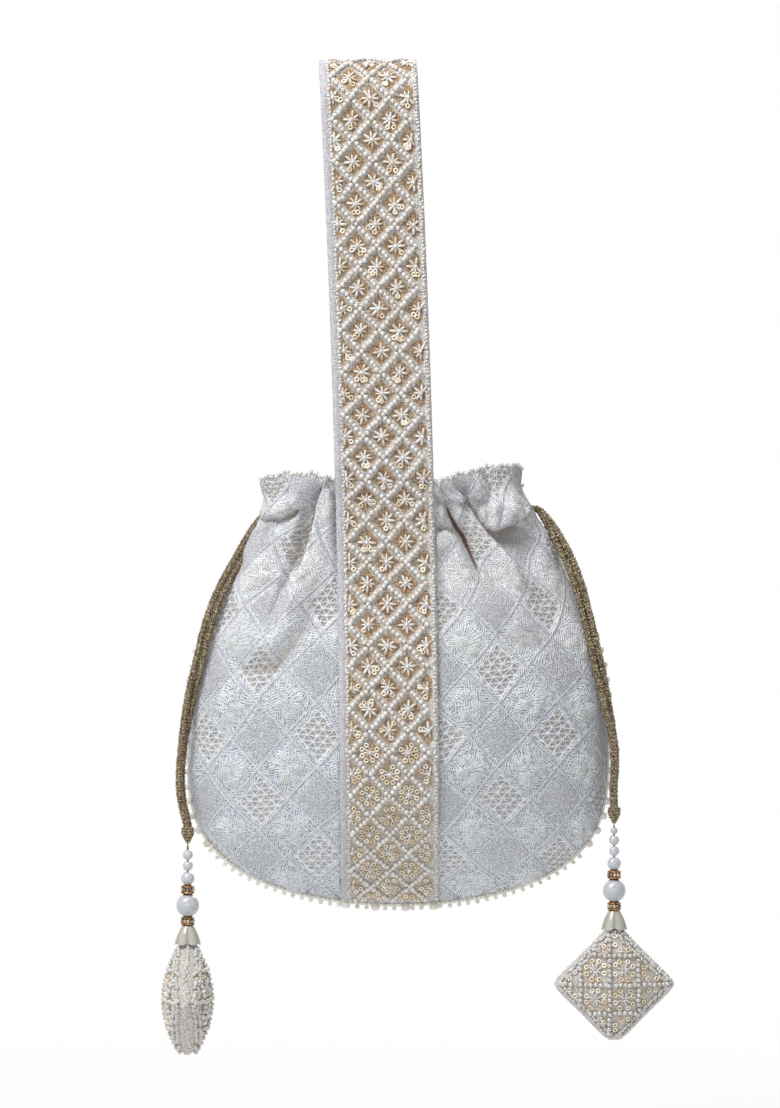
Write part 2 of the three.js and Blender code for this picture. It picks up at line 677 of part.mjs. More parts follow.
add(potli, 'front_panel', panel(-1), 'embroidery');
add(potli, 'back_panel', panel(1), 'embroidery');
add(potli, 'lining', lining(), 'lining');
add(potli, 'beaded_strap', strapBand(), 'beadwork');
add(potli, 'strap_backing', strapBacking(), 'backing');
add(potli, 'seam_pearls', seamPearls(), 'pearl');

// A bead string hangs from its knot: each bead sits just under the last
function hangBeads(side, kinds, bareThread, knotTop, turn) {
  const string = new THREE.Group();
  string.position.set(...knotTop);
  potli.add(string);
  add(string, `${side}_knot`, knot(), 'zari');
  const makers = {
    pearl_tiny: [() => pearl(TINY_PEARL_RADIUS), 2 * TINY_PEARL_RADIUS, 'pearl'],
    pearl_small_upper: [() => pearl(SMALL_PEARL_RADIUS), 2 * SMALL_PEARL_RADIUS, 'pearl'],
    pearl_small_lower: [() => pearl(SMALL_PEARL_RADIUS), 2 * SMALL_PEARL_RADIUS, 'pearl'],
    pearl_medium: [() => pearl(MEDIUM_PEARL_RADIUS), 2 * MEDIUM_PEARL_RADIUS, 'pearl'],
    rondelle_upper: [rondelle, RONDELLE_HEIGHT, 'gold'],
    pearl_large: [() => pearl(LARGE_PEARL_RADIUS), 2 * LARGE_PEARL_RADIUS, 'pearl'],
    rondelle_lower: [rondelle, RONDELLE_HEIGHT, 'gold'],
    petal_cap: [petalCap, CAP_HEIGHT, 'pearl'],
  };
  const threadTop = -KNOT_HEIGHT - TOUCH_GAP;
  let level = threadTop - bareThread;
  for (const kind of kinds) {
    const [make, height, finish] = makers[kind];
    add(string, `${side}_${kind}`, make(), finish).position.z = level;
    level -= height + TOUCH_GAP;
  }
  const charmTop = level + TOUCH_GAP + CHARM_TUCK;
  add(string, `${side}_thread`, thread(threadTop - charmTop - TOUCH_GAP), 'thread').position.z = threadTop;
  const pad = add(string, `${side}_charm`, charm(), 'beadwork');
  pad.position.z = charmTop;
  pad.rotation.z = turn;
}

const BEADS = [
  'pearl_small_upper', 'pearl_small_lower', 'pearl_medium', 'rondelle_upper', 'pearl_large',
  'rondelle_lower', 'petal_cap',
];

for (const [side, sign, tail, beads, bareThread, turn] of [
  ['left', -1, LEFT_TAIL_ROUTE, BEADS, LEFT_BARE_THREAD, Math.PI / 2],
  ['right', 1, RIGHT_TAIL_ROUTE, ['pearl_tiny', ...BEADS], RIGHT_BARE_THREAD, 0],
]) {
  const level = CASING_Z + sign * CORD_LEVEL_STEP;
  const route = tail.map(([x, y, z]) => [BAG_X + x, y, CASING_Z + z]);
  add(potli, `${side}_drawcord_casing_run`, casingRun(sign, level, route[0]), 'zari');
  add(potli, `${side}_drawcord_front_tail`, tailStrand(route, -1), 'zari');
  add(potli, `${side}_drawcord_back_tail`, tailStrand(route, 1), 'zari');
  const [x, y, z] = route.at(-1);
  hangBeads(side, beads, bareThread, [x, y, z - CORD_END_GAP], turn);
}

export default potli;
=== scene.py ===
"""Looks of a potli bag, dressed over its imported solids. Metres, +Z up, front towards -Y."""
import json
import math

import bpy
import numpy as np
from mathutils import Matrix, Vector

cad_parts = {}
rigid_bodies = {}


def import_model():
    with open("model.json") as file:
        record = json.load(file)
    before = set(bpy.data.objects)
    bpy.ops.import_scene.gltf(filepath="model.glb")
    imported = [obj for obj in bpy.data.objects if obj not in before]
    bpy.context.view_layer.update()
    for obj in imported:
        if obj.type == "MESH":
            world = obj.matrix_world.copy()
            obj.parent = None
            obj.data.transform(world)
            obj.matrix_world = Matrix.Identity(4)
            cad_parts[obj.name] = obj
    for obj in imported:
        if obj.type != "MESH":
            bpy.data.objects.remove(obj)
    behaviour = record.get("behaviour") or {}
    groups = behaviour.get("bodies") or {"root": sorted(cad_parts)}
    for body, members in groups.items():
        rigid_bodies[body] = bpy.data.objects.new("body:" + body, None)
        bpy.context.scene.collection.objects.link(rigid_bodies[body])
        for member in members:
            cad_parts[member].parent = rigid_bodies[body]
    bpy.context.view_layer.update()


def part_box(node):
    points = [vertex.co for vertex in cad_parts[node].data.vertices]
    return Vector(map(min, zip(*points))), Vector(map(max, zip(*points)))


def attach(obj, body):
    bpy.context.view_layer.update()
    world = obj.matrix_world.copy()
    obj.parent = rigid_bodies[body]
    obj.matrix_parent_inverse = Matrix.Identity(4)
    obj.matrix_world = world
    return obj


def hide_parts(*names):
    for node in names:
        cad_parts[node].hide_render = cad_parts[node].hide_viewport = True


for leftover in list(bpy.data.objects):
    bpy.data.objects.remove(leftover)
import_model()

MM = 0.001  # the sizes below are millimetres, as in the part's source
SIDES = (("left", -1), ("right", 1))
scene = bpy.context.scene
scene.view_settings.view_transform = "Standard"

# Camera
PICTURE = (780, 1108)
MM_A_PIXEL = 0.53
PICTURE_CENTRE = (11.7, -15, -260.8)
CAMERA_DISTANCE = 2400
SENSOR_HEIGHT = 36


def place_camera():
    lens = bpy.data.cameras.new("camera")
    lens.sensor_fit = "VERTICAL"
    lens.sensor_height = SENSOR_HEIGHT
    lens.lens = SENSOR_HEIGHT * CAMERA_DISTANCE / (MM_A_PIXEL * PICTURE[1])
    camera = bpy.data.objects.new("camera", lens)
    x, y, z = PICTURE_CENTRE
    camera.location = (x * MM, (y - CAMERA_DISTANCE) * MM, z * MM)
    camera.rotation_euler = (math.pi / 2, 0, 0)
    scene.collection.objects.link(camera)
    scene.camera = camera


place_camera()


# Shader nodes
SPECK_STRETCH = 0.22  # breadth to length of the specks that make a thread


class Wire:
    """An output of a shader node that can be reckoned with like a number."""

    def __init__(self, bench, socket):
        self.bench = bench
        self.socket = socket

    def reckon(self, operation, *others):
        node = self.bench.put("Math", operation=operation)
        for socket, value in zip(node.inputs, (self, *others)):
            self.bench.join(value, socket)
        return Wire(self.bench, node.outputs[0])

    def __add__(self, other):
        return self.reckon("ADD", other)

    def __sub__(self, other):
        return self.reckon("SUBTRACT", other)

    def __mul__(self, other):
        return self.reckon("MULTIPLY", other)

    def __truediv__(self, other):
        return self.reckon("DIVIDE", other)

    def __mod__(self, other):
        return self.reckon("FLOORED_MODULO", other)

    def __abs__(self):
        return self.reckon("ABSOLUTE")

    def __rsub__(self, other):
        return self.reckon("MULTIPLY", -1) + other

    __radd__ = __add__
    __rmul__ = __mul__


class Bench:
    """The nodes of one material or node group, placed and joined by name."""

    def __init__(self, tree):
        self.tree = tree

    def put(self, kind, inputs=None, **settings):
        node = self.tree.nodes.new("ShaderNode" + kind)
        for name, value in settings.items():
            setattr(node, name, value)
        for name, value in (inputs or {}).items():
            self.join(value, node.inputs[name])
        return node

    def join(self, value, socket):
        if isinstance(value, Wire):
            self.tree.links.new(value.socket, socket)
        else:
            socket.default_value = value

    def out(self, node, output=0):
        return Wire(self, node.outputs[output])

    def mix(self, share, first, second):
        node = self.put("Mix", data_type="RGBA")
        for index, value in ((0, share), (6, first), (7, second)):
            self.join(value, node.inputs[index])
        return Wire(self, node.outputs[2])

    def group(self, tree, **inputs):
        node = self.put("Group")
        node.node_tree = tree
        for name, value in inputs.items():
            self.join(value, node.inputs[name])
        return node

    def mark(self, name):
        return self.put("Attribute", attribute_name=name)

    def place(self):
        return self.out(self.put("TexCoord"), "Object")

    def speckle(self, vector, scale, detail=2.0):
        node = self.put("TexNoise", {"Vector": vector, "Scale": scale, "Detail": detail})
        return self.out(node)


def reckoned(operation, plain, value, *others):
    """One reckoning, for shader wires or for plain numbers."""
    return value.reckon(operation, *others) if isinstance(value, Wire) else plain(value, *others)


def lowest(first, second):
    return reckoned("MINIMUM", np.minimum, first, second)


def highest(first, second):
    return reckoned("MAXIMUM", np.maximum, first, second)


def nearest(value):
    return reckoned("ROUND", lambda number: np.floor(number + 0.5), value)


def wave(value):
    return reckoned("SINE", np.sin, value)


def bearing(up, along):
    return reckoned("ARCTAN2", np.arctan2, up, along)


def span(first, second):
    return reckoned("SQRT", np.sqrt, first * first + second * second)


def ramp(value, low, high):
    """Rises smoothly from 0 at low to 1 at high."""
    if isinstance(value, Wire):
        node = value.bench.put("MapRange", interpolation_type="SMOOTHSTEP")
        for name, number in (("Value", value), ("From Min", low), ("From Max", high)):
            value.bench.join(number, node.inputs[name])
        return Wire(value.bench, node.outputs[0])
    share = np.clip((value - low) / (high - low), 0, 1)
    return share * share * (3 - 2 * share)


def dye(red, green, blue):
    """A colour as it is seen on screen, 0 to 255, for a shader."""
    def linear(value):
        value /= 255
        return value / 12.92 if value <= 0.04045 else ((value + 0.055) / 1.055) ** 2.4
    return (linear(red), linear(green), linear(blue), 1.0)


def new_group(name, inputs, outputs):
    tree = bpy.data.node_groups.new(name, "ShaderNodeTree")
    for side, sockets in (("INPUT", inputs), ("OUTPUT", outputs)):
        for label, kind in sockets.items():
            tree.interface.new_socket(name=label, in_out=side, socket_type="NodeSocket" + kind)
    bench = Bench(tree)
    source = tree.nodes.new("NodeGroupInput")
    drain = tree.nodes.new("NodeGroupOutput")
    return tree, bench, source, drain


def thread_grain_group():
    """Fine crossed threads: a height and a shade that vary from thread to thread."""
    tree, bench, source, drain = new_group(
        "thread_grain", {"Vector": "Vector", "Scale": "Float"}, {"Height": "Float", "Shade": "Float"})
    parts = bench.put("SeparateXYZ", {"Vector": bench.out(source, "Vector")})
    scale = bench.out(source, "Scale")
    across, along, deep = (bench.out(parts, axis) * scale for axis in "XYZ")
    layers = []
    for first, second in ((across, along), (along, across)):
        lengthwise = bench.put("CombineXYZ", {"X": first * SPECK_STRETCH, "Y": second, "Z": deep})
        layers.append(bench.speckle(bench.out(lengthwise), 1.0, 1.0))
    height = highest(*layers)
    bench.join(height, drain.inputs["Height"])
    bench.join(ramp(height, 0.4, 0.72), drain.inputs["Shade"])
    return tree


def pearl_lustre_group():
    """Each bead's own tint, between white, cream and blush, with a cloudy skin."""
    tree, bench, source, drain = new_group(
        "pearl_lustre",
        {"Tone": "Float", "Vector": "Vector", "White": "Color", "Cream": "Color", "Blush": "Color"},
        {"Color": "Color", "Roughness": "Float"})
    tone = bench.out(source, "Tone")
    cloud = bench.speckle(bench.out(source, "Vector"), 320.0)
    warm = bench.mix(ramp(tone, 0.25, 0.8), bench.out(source, "White"), bench.out(source, "Cream"))
    tint = bench.mix(ramp(tone, 0.86, 0.93) * 0.7, warm, bench.out(source, "Blush"))
    cloudy = bench.mix(ramp(cloud, 0.4, 0.7) * 0.3, tint, bench.out(source, "Cream"))
    bench.join(cloudy, drain.inputs["Color"])
    bench.join(cloud * 0.14 + 0.12, drain.inputs["Roughness"])
    return tree


def rubbed_metal_group():
    """Metal thread and plate: bright where it is rubbed and dark elsewhere, in random patches."""
    tree, bench, source, drain = new_group(
        "rubbed_metal",
        {"Vector": "Vector", "Scale": "Float", "Tone": "Float", "Bright": "Color", "Dark": "Color"},
        {"Color": "Color", "Roughness": "Float"})
    grain = bench.speckle(bench.out(source, "Vector"), bench.out(source, "Scale"), 3.0)
    rubbed = ramp(grain + (bench.out(source, "Tone") - 0.5) * 0.3, 0.36, 0.62)
    colour = bench.mix(rubbed, bench.out(source, "Dark"), bench.out(source, "Bright"))
    bench.join(colour, drain.inputs["Color"])
    bench.join(0.55 - rubbed * 0.27, drain.inputs["Roughness"])
    return tree


THREAD_GRAIN = thread_grain_group()
PEARL_LUSTRE = pearl_lustre_group()
RUBBED_METAL = rubbed_metal_group()


def new_finish(name, **sockets):
    """A material with its own shader, whose plain values are set on the shader itself."""
    material = bpy.data.materials.new(name)
    material.use_nodes = True
    shader = material.node_tree.nodes["Principled BSDF"]
    for label, value in sockets.items():
        shader.inputs[label.replace("_", " ")].default_value = value
    return material, Bench(material.node_tree), shader


def relief(bench, shader, height, strength=1.0):
    """Height in millimetres, felt by the light."""
    bump = bench.put("Bump", {"Height": height, "Strength": strength, "Distance": MM})
    bench.join(bench.out(bump), shader.inputs["Normal"])


def coat(bench, shader, colour, roughness):
    bench.join(colour, shader.inputs["Base Color"])
    bench.join(roughness, shader.inputs["Roughness"])


# The body's outline and depth: those of the solids, with fuller lower corners and shoulders
BAG_X = 16
BAG_BOTTOM_Z = -447
BELLY_HEIGHT = 86
BELLY_HALF_WIDTH = 111
BELLY_HALF_DEPTH = 40
BELLY_ROUNDNESS = 3.5
CASING_HEIGHT = 208
CASING_LOW = 201
CASING_HIGH = 215
WAIST_HALF_WIDTH = 70
WAIST_HALF_DEPTH = 26
SHOULDER_POWER = 2.4
MOUTH_HEIGHT = 233
MOUTH_HALF_WIDTH = 73
MOUTH_HALF_DEPTH = 29
SEAM_HALF_GAP = 0.15
CORD_SLIT_HALF_WIDTH = 4.4
SLIT_POWER = 8
STRAP_WIDTH = 52
STRAP_LEAN = 11.7
SHOULDER_PUFF = 6  # soft cloth swelling out below the casing
SHOULDER_LEAN = 1.5  # and more to the right than to the left
PUFF_HEIGHT = 197
PUFF_SPREAD = 11
RUFFLE_LEAN = 0.1  # how far the right of the ruffle draws in towards its edge


def mixed(first, second, share):
    return first + (second - first) * share


def at_shoulder(height):
    return np.exp(-((height - PUFF_HEIGHT) / PUFF_SPREAD) ** 2)


def middle_x(height):
    return BAG_X + SHOULDER_LEAN * at_shoulder(height)


def half_width(height):
    below = np.clip((BELLY_HEIGHT - height) / BELLY_HEIGHT, 0, 1)
    above = np.clip((height - BELLY_HEIGHT) / (CASING_LOW - BELLY_HEIGHT), 0, 1)
    belly = BELLY_HALF_WIDTH * np.sqrt(1 - below ** BELLY_ROUNDNESS)
    shoulder = mixed(BELLY_HALF_WIDTH, WAIST_HALF_WIDTH, above ** SHOULDER_POWER)
    ruffle = mixed(WAIST_HALF_WIDTH, MOUTH_HALF_WIDTH, ramp(height, CASING_HIGH, MOUTH_HEIGHT))
    upper = np.where(height < CASING_LOW, shoulder, ruffle)
    return SHOULDER_PUFF * at_shoulder(height) + np.where(height < BELLY_HEIGHT, belly, upper)


def half_depth(height):
    below = np.clip((BELLY_HEIGHT - height) / BELLY_HEIGHT, 0, 1)
    shoulder = mixed(BELLY_HALF_DEPTH, WAIST_HALF_DEPTH, ramp(height, BELLY_HEIGHT, CASING_LOW))
    ruffle = mixed(WAIST_HALF_DEPTH, MOUTH_HALF_DEPTH, ramp(height, CASING_HIGH, MOUTH_HEIGHT))
    upper = np.where(height < CASING_LOW, shoulder, ruffle)
    return np.where(height < BELLY_HEIGHT, BELLY_HALF_DEPTH * (1 - below ** 2), upper)


def strap_x(z):
    return STRAP_LEAN * (1 - (1 - z / BAG_BOTTOM_Z) ** 2)


# Meshes
POLE_RADIUS = 1e-6
SPLINE_STEPS = 24


def new_piece(name, points, faces, finish, body, replaced=(), marks=None):
    """A smooth mesh piece from millimetre points, riding on a body of the frame."""
    mesh = bpy.data.meshes.new(name)
    mesh.from_pydata((np.asarray(points, float) * MM).tolist(), [], [list(map(int, f)) for f in faces])
    mesh.shade_smooth()
    for label, values in (marks or {}).items():
        values = np.asarray(values, np.float32)
        kind, key = ("FLOAT_VECTOR", "vector") if values.ndim == 2 else ("FLOAT", "value")
        mesh.attributes.new(label, kind, "POINT").data.foreach_set(key, values.ravel())
    mesh.materials.append(finish)
    piece = bpy.data.objects.new(name, mesh)
    scene.collection.objects.link(piece)
    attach(piece, body)
    if replaced:
        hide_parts(*replaced)
    return piece


def grid_faces(rows, columns, ring=False):
    """Faces between neighbouring rows of points; a ring's last column joins its first."""
    r, c = np.meshgrid(np.arange(rows - 1), np.arange(columns if ring else columns - 1), indexing="ij")
    after = (c + 1) % columns
    corners = (r * columns + c, r * columns + after, (r + 1) * columns + after, (r + 1) * columns + c)
    return np.stack(corners, -1).reshape(-1, 4).tolist()


def turns_round(count):
    return np.arange(count) * 2 * math.pi / count


def listed(x, y, z):
    """Grids of three values as one list of points."""
    return np.stack([x, y, z], -1).reshape(-1, 3)


def unit(vectors):
    return vectors / np.linalg.norm(vectors, axis=1)[:, None]


def middle_of(node):
    """The middle and the size of a solid's box."""
    low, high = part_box(node)
    return np.array((low + high) / 2) / MM, np.array(high - low) / MM


def turned(profile, segments, flute=lambda height, turn: 1.0):
    """A turned shape about +Z: profile is radius and height, bottom first; radius 0 is a pole."""
    points, rings = [], []
    for radius, height in profile:
        first = len(points)
        if radius < POLE_RADIUS:
            points.append((0, 0, height))
            rings.append([first])
            continue
        for turn in turns_round(segments):
            r = radius * flute(height, turn)
            points.append((r * math.cos(turn), r * math.sin(turn), height))
        rings.append(list(range(first, first + segments)))
    faces = []
    for low, high in zip(rings, rings[1:]):
        for k in range(segments):
            n = (k + 1) % segments
            if len(low) == 1:
                faces.append([low[0], high[n], high[k]])
            elif len(high) == 1:
                faces.append([low[k], low[n], high[0]])
            else:
                faces.append([low[k], low[n], high[n], high[k]])
    return np.array(points, float), faces


def round_bead(segments, rows):
    turns = np.linspace(-math.pi / 2, math.pi / 2, rows + 1)
    return turned([(math.cos(t), math.sin(t)) for t in turns], segments)


def ring_bead(segments, sides, thick):
    """A ring of outer radius 1 lying flat."""
    points = []
    for turn in turns_round(segments):
        for around in turns_round(sides):
            r = 1 - thick + thick * math.cos(around)
            points.append((r * math.cos(turn), r * math.sin(turn), thick * math.sin(around)))
    faces = [[a * sides + b, (a + 1) % segments * sides + b,
              (a + 1) % segments * sides + (b + 1) % sides, a * sides + (b + 1) % sides]
             for a in range(segments) for b in range(sides)]
    return np.array(points), faces


def sew(name, shape, origins, axes, rng, finish, body="bag", replaced=(), tint=1.0):
    """A piece of many copies of a small shape, each with its own place, axes and tone."""
    shape_points, shape_faces = shape
    points = np.einsum("kij,nj->kni", axes, shape_points) + origins[:, None, :]
    size = len(shape_points)
    faces = [[i + k * size for i in face] for k in range(len(origins)) for face in shape_faces]
    tones = np.repeat(rng.random(len(origins)), size) * tint
    return new_piece(name, points.reshape(-1, 3), faces, finish, body, replaced, {"tone": tones})


def upright(count, size):
    return np.eye(3)[None] * np.broadcast_to(size, count)[:, None, None]


def smooth_line(points):
    """A centripetal spline through points, finely sampled, as the solids' cords are drawn."""
    p = np.asarray(points, float)
    p = np.vstack([2 * p[0] - p[1], p, 2 * p[-1] - p[-2]])
    share = np.arange(SPLINE_STEPS)[:, None] / SPLINE_STEPS
    stretches = []
    for x0, x1, x2, x3 in zip(p, p[1:], p[2:], p[3:]):
        d0, d1, d2 = (math.sqrt(np.linalg.norm(b - a)) for a, b in ((x0, x1), (x1, x2), (x2, x3)))
        t1 = ((x1 - x0) / d0 - (x2 - x0) / (d0 + d1) + (x2 - x1) / d1) * d1
        t2 = ((x2 - x1) / d1 - (x3 - x1) / (d1 + d2) + (x3 - x2) / d2) * d1
        square = (3 * (x2 - x1) - 2 * t1 - t2) * share ** 2
        stretches.append(x1 + t1 * share + square + (2 * (x1 - x2) + t1 + t2) * share ** 3)
    return np.vstack([*stretches, p[-2:-1]])


def distances(line):
    return np.concatenate([[0], np.cumsum(np.linalg.norm(np.diff(line, axis=0), axis=1))])


def points_at(line, places):
    """Points and directions of a line at distances from its start."""
    at = distances(line)
    direction = unit(np.gradient(line, at, axis=0))
    point, heading = (np.stack([np.interp(places, at, values[:, k]) for k in range(3)], 1)
                      for values in (line, direction))
    return point, unit(heading)


def carried_axes(heading):
    """Two sideways axes carried along a line without twisting."""
    side = np.cross(heading[0], (0, 1, 0))
    sides = []
    for ahead in heading:
        side = side - ahead * np.dot(side, ahead)
        side = side / np.linalg.norm(side)
        sides.append(side)
    sides = np.array(sides)
    return sides, np.cross(heading, sides)


def tube(centre, heading, radius, sides):
    """A closed tube along a line; its radius may differ from point to point."""
    side, other = carried_axes(heading)
    turn = turns_round(sides)
    ring = side[:, None, :] * np.cos(turn)[None, :, None] + other[:, None, :] * np.sin(turn)[None, :, None]
    radius = np.broadcast_to(radius, ring.shape[:2])
    points = (centre[:, None, :] + ring * radius[:, :, None]).reshape(-1, 3)
    ends = (list(range(sides))[::-1], list(range(len(points) - sides, len(points))))
    return points, [*grid_faces(len(centre), sides, ring=True), *ends]


# Drawcords
CORD_DIAMETER = 3.4
CORD_PITCH = 3.4  # the two strands press against each other
# Point of the route, and how many degrees the strands have turned about each other there
STRAND_TWIST = ((0, 0), (1, 0), (4, 90), (9, 90), (13, 24), (19, 12))
CORD_RINGS_A_MM = 2.8
CORD_SIDES = 22
CORD_WALES = 5  # columns of knitting round a cord
STITCH_LENGTH = 1.6
STITCH_DEPTH = 0.42
LOOP_HEIGHT = STITCH_DEPTH * 1.6
STITCH_WAVER = (0.3, 0.08)  # in a stitch's place along the cord, and in the cord's radius
CORD_BULK = 0.15  # how far the soft cord swells past its measured size
KNOT_LAP = 1.8  # how far the knot reaches up over the strands' ends
KNOT_ROWS = 26
KNOT_SIDES = 40
KNOT_TIP = 0.4
KNOT_PROFILE = ((0, 0.9), (0.2, 1.7), (0.45, 2.7), (0.65, 3.2), (1, 3.1))  # share of its height, radius
ZARI_LOOPS = 1900.0  # in a metre
ZARI_GRAIN = 2400.0
LEFT_TAIL_ROUTE = [
    (-54, 0, -241.2), (-56.4, 0, -241.4), (-59.6, -3, -246), (-63.4, -6.8, -253), (-68.6, -9.6, -263),
    (-74.8, -11.4, -274), (-80, -12.6, -285), (-84, -13.4, -296), (-87, -13.9, -307), (-89.5, -14, -318),
    (-92.3, -13.8, -329), (-94.6, -13.4, -340), (-96.6, -13, -351), (-98.2, -12.7, -362),
    (-99.2, -12.5, -372), (-99.5, -12.5, -382), (-98.9, -12.5, -390.5), (-97.2, -12.5, -398.5),
    (-95.8, -12.5, -404), (-95.6, -12.5, -407.1),
]
RIGHT_TAIL_ROUTE = [
    (88, 0, -236.8), (90.6, 0, -237), (94.2, -3, -241.2), (98, -6.5, -247.4), (103, -9.4, -256.4),
    (108.4, -11.4, -268), (112.4, -12.6, -279.6), (115.2, -13.4, -290.4), (117.8, -13.9, -301),
    (120.4, -14, -312), (122.8, -13.8, -322.5), (125, -13.4, -333), (127.3, -13, -344), (129.5, -12.7, -355),
    (130.8, -12.5, -366), (130.9, -12.5, -376), (130.3, -12.5, -385), (130.4, -12.5, -392),
    (130.6, -12.5, -396.5),
]
TAIL_ROUTES = {"left": LEFT_TAIL_ROUTE, "right": RIGHT_TAIL_ROUTE}


def zari_finish():
    """Antique gold metal thread in a loose knit: bright and dull loops, with painted shade in dark brown
    where the loops dip.
    """
    material, bench, shader = new_finish("antique_zari", Metallic=0.4, Specular_IOR_Level=0.6)
    place = bench.place()
    loops = bench.put("TexVoronoi", {"Vector": place, "Scale": ZARI_LOOPS})
    chance = bench.out(bench.put("SeparateColor", {"Color": bench.out(loops, "Color")}))
    metal = bench.group(RUBBED_METAL, Vector=place, Scale=ZARI_GRAIN, Tone=chance,
                        Bright=dye(222, 206, 172), Dark=dye(112, 88, 60))
    # painted shade: dark brown where the knit's loops dip, mixed with loops dulled at random
    bright = ramp(chance * 0.6 + bench.out(bench.mark("knit"), "Fac") * 0.7, 0.15, 1.0)
    colour = bench.mix(bright, dye(78, 58, 40), bench.out(metal, "Color"))
    coat(bench, shader, colour, bench.out(metal, "Roughness"))
    relief(bench, shader, bench.out(loops, "Distance") * -0.7)
    return material


ZARI = zari_finish()


def strand_line(route, strand):
    """One of two strands that come to lie side by side along a route."""
    middle = smooth_line(route)
    points = []
    for i, (x, y, z) in enumerate(route):
        k = i * SPLINE_STEPS
        ahead = middle[min(k + 1, len(middle) - 1)] - middle[max(k - 1, 0)]
        ahead = ahead / np.linalg.norm(ahead)
        aside = strand * CORD_PITCH / 2
        turn = math.radians(np.interp(i, *zip(*STRAND_TWIST)))
        points.append((x - ahead[2] * aside * math.sin(turn), y + aside * math.cos(turn),
                       z + ahead[0] * aside * math.sin(turn)))
    return smooth_line(points)


def knitted_cord(line, rng, rings_a_mm=CORD_RINGS_A_MM, sides=CORD_SIDES):
    """A knitted tube along a line: columns of loops that slant to and fro, none quite like the next."""
    length = distances(line)[-1]
    places = np.linspace(0, length, int(length * rings_a_mm))
    centre, heading = points_at(line, places)
    wale = turns_round(sides) * CORD_WALES / (2 * math.pi)
    across = np.abs((wale % 1) - 0.5) * 2
    stitches = np.arange(0, length + STITCH_LENGTH, STITCH_LENGTH)
    uneven, swell = (np.interp(places, stitches, rng.normal(0, much, len(stitches))) for much in STITCH_WAVER)
    row = (places / STITCH_LENGTH + uneven)[:, None] + across[None, :] * 0.5
    loop = (0.5 - 0.5 * np.cos(2 * math.pi * row)) * (1 - across[None, :] ** 3)
    radius = CORD_DIAMETER / 2 + CORD_BULK + swell[:, None] - STITCH_DEPTH + LOOP_HEIGHT * loop
    points, faces = tube(centre, heading, radius, sides)
    return points, faces, loop.ravel(), centre


def wrapped_knot(side):
    """The frayed binding under the two strands, drawn in to a point."""
    place, size = middle_of(f"{side}_knot")
    height = size[2]
    shares = np.linspace(0, 1, KNOT_ROWS + 1)
    levels = shares * (height + KNOT_LAP) - height
    bodies = zip(np.interp(shares, *zip(*KNOT_PROFILE)), levels)
    profile = [(0, -height - KNOT_TIP), *bodies, (0, KNOT_LAP + KNOT_TIP)]
    points, faces = turned(profile, KNOT_SIDES, lambda level, turn: (
        1 + 0.09 * math.sin(7 * turn + 2.3 * level) + 0.07 * math.sin(12 * turn - 4.1 * level)))
    # bands of the binding, which the zari finish paints dark brown as shade where they are low
    loop = np.sin(points[:, 2] * 4.1) * 0.5 + 0.5
    return new_piece(f"{side}_wrapped_knot", points + place + (0, 0, height / 2), faces, ZARI, "bag",
                     [f"{side}_knot"], {"knit": loop})


def hang_drawcords():
    rng = np.random.default_rng(5)
    for side, _ in SIDES:
        knot = wrapped_knot(side)
        for label, strand in (("front", -1), ("back", 1)):
            line = strand_line(TAIL_ROUTES[side], strand)
            points, faces, marks, centre = knitted_cord(line, rng)
            tail = new_piece(f"{side}_zari_{label}_tail", points, faces, ZARI, "bag",
                             [f"{side}_drawcord_{label}_tail"], {"knit": marks})
            tuple(centre[0] * MM)
            (centre * MM).tolist()


hang_drawcords()

# Embroidery: a slanted lattice of couched cord with net, stippled and satin cells
CELL_HALF_WIDTH = 16.25
CELL_HALF_HEIGHT = 17.2
CELL_ACROSS = 22.9  # the middle of one net cell, across from the bag's middle
CELL_LEVEL = 90  # and its height above the bottom
LINE_PITCH = 2 / math.hypot(1 / CELL_HALF_WIDTH, 1 / CELL_HALF_HEIGHT)
NET_PITCH = 5.8  # level distance between the slanting threads of a net cell
NET_RISE = 1.15  # how steeply they slant
NET_ROW = NET_PITCH * NET_RISE / 2
NET_GAP = NET_PITCH * NET_RISE / math.hypot(1, NET_RISE)
NET_THREAD = 0.3  # half the breadth of a net thread
NET_WAVER = 0.26
STITCH_PATCHES = 0.16  # patches of laid stitches in a millimetre
STITCH_BREADTH = 1.25
LEAF_PLACE = (-4.2, -1.4)
LEAF_SIZE = (5.0, 3.0)
LEAF_TILT = math.radians(24)
LOBE_PLACE = (2.6, -6.4)
LOBE_RADIUS = 3.6
SATIN_THREAD = 0.8
FAN_STITCHES = 30
ROSETTE_PLACE = (6.2, 4.6)
ROSETTE_RADIUS = 3.9
ROSETTE_PITCH = 1.35


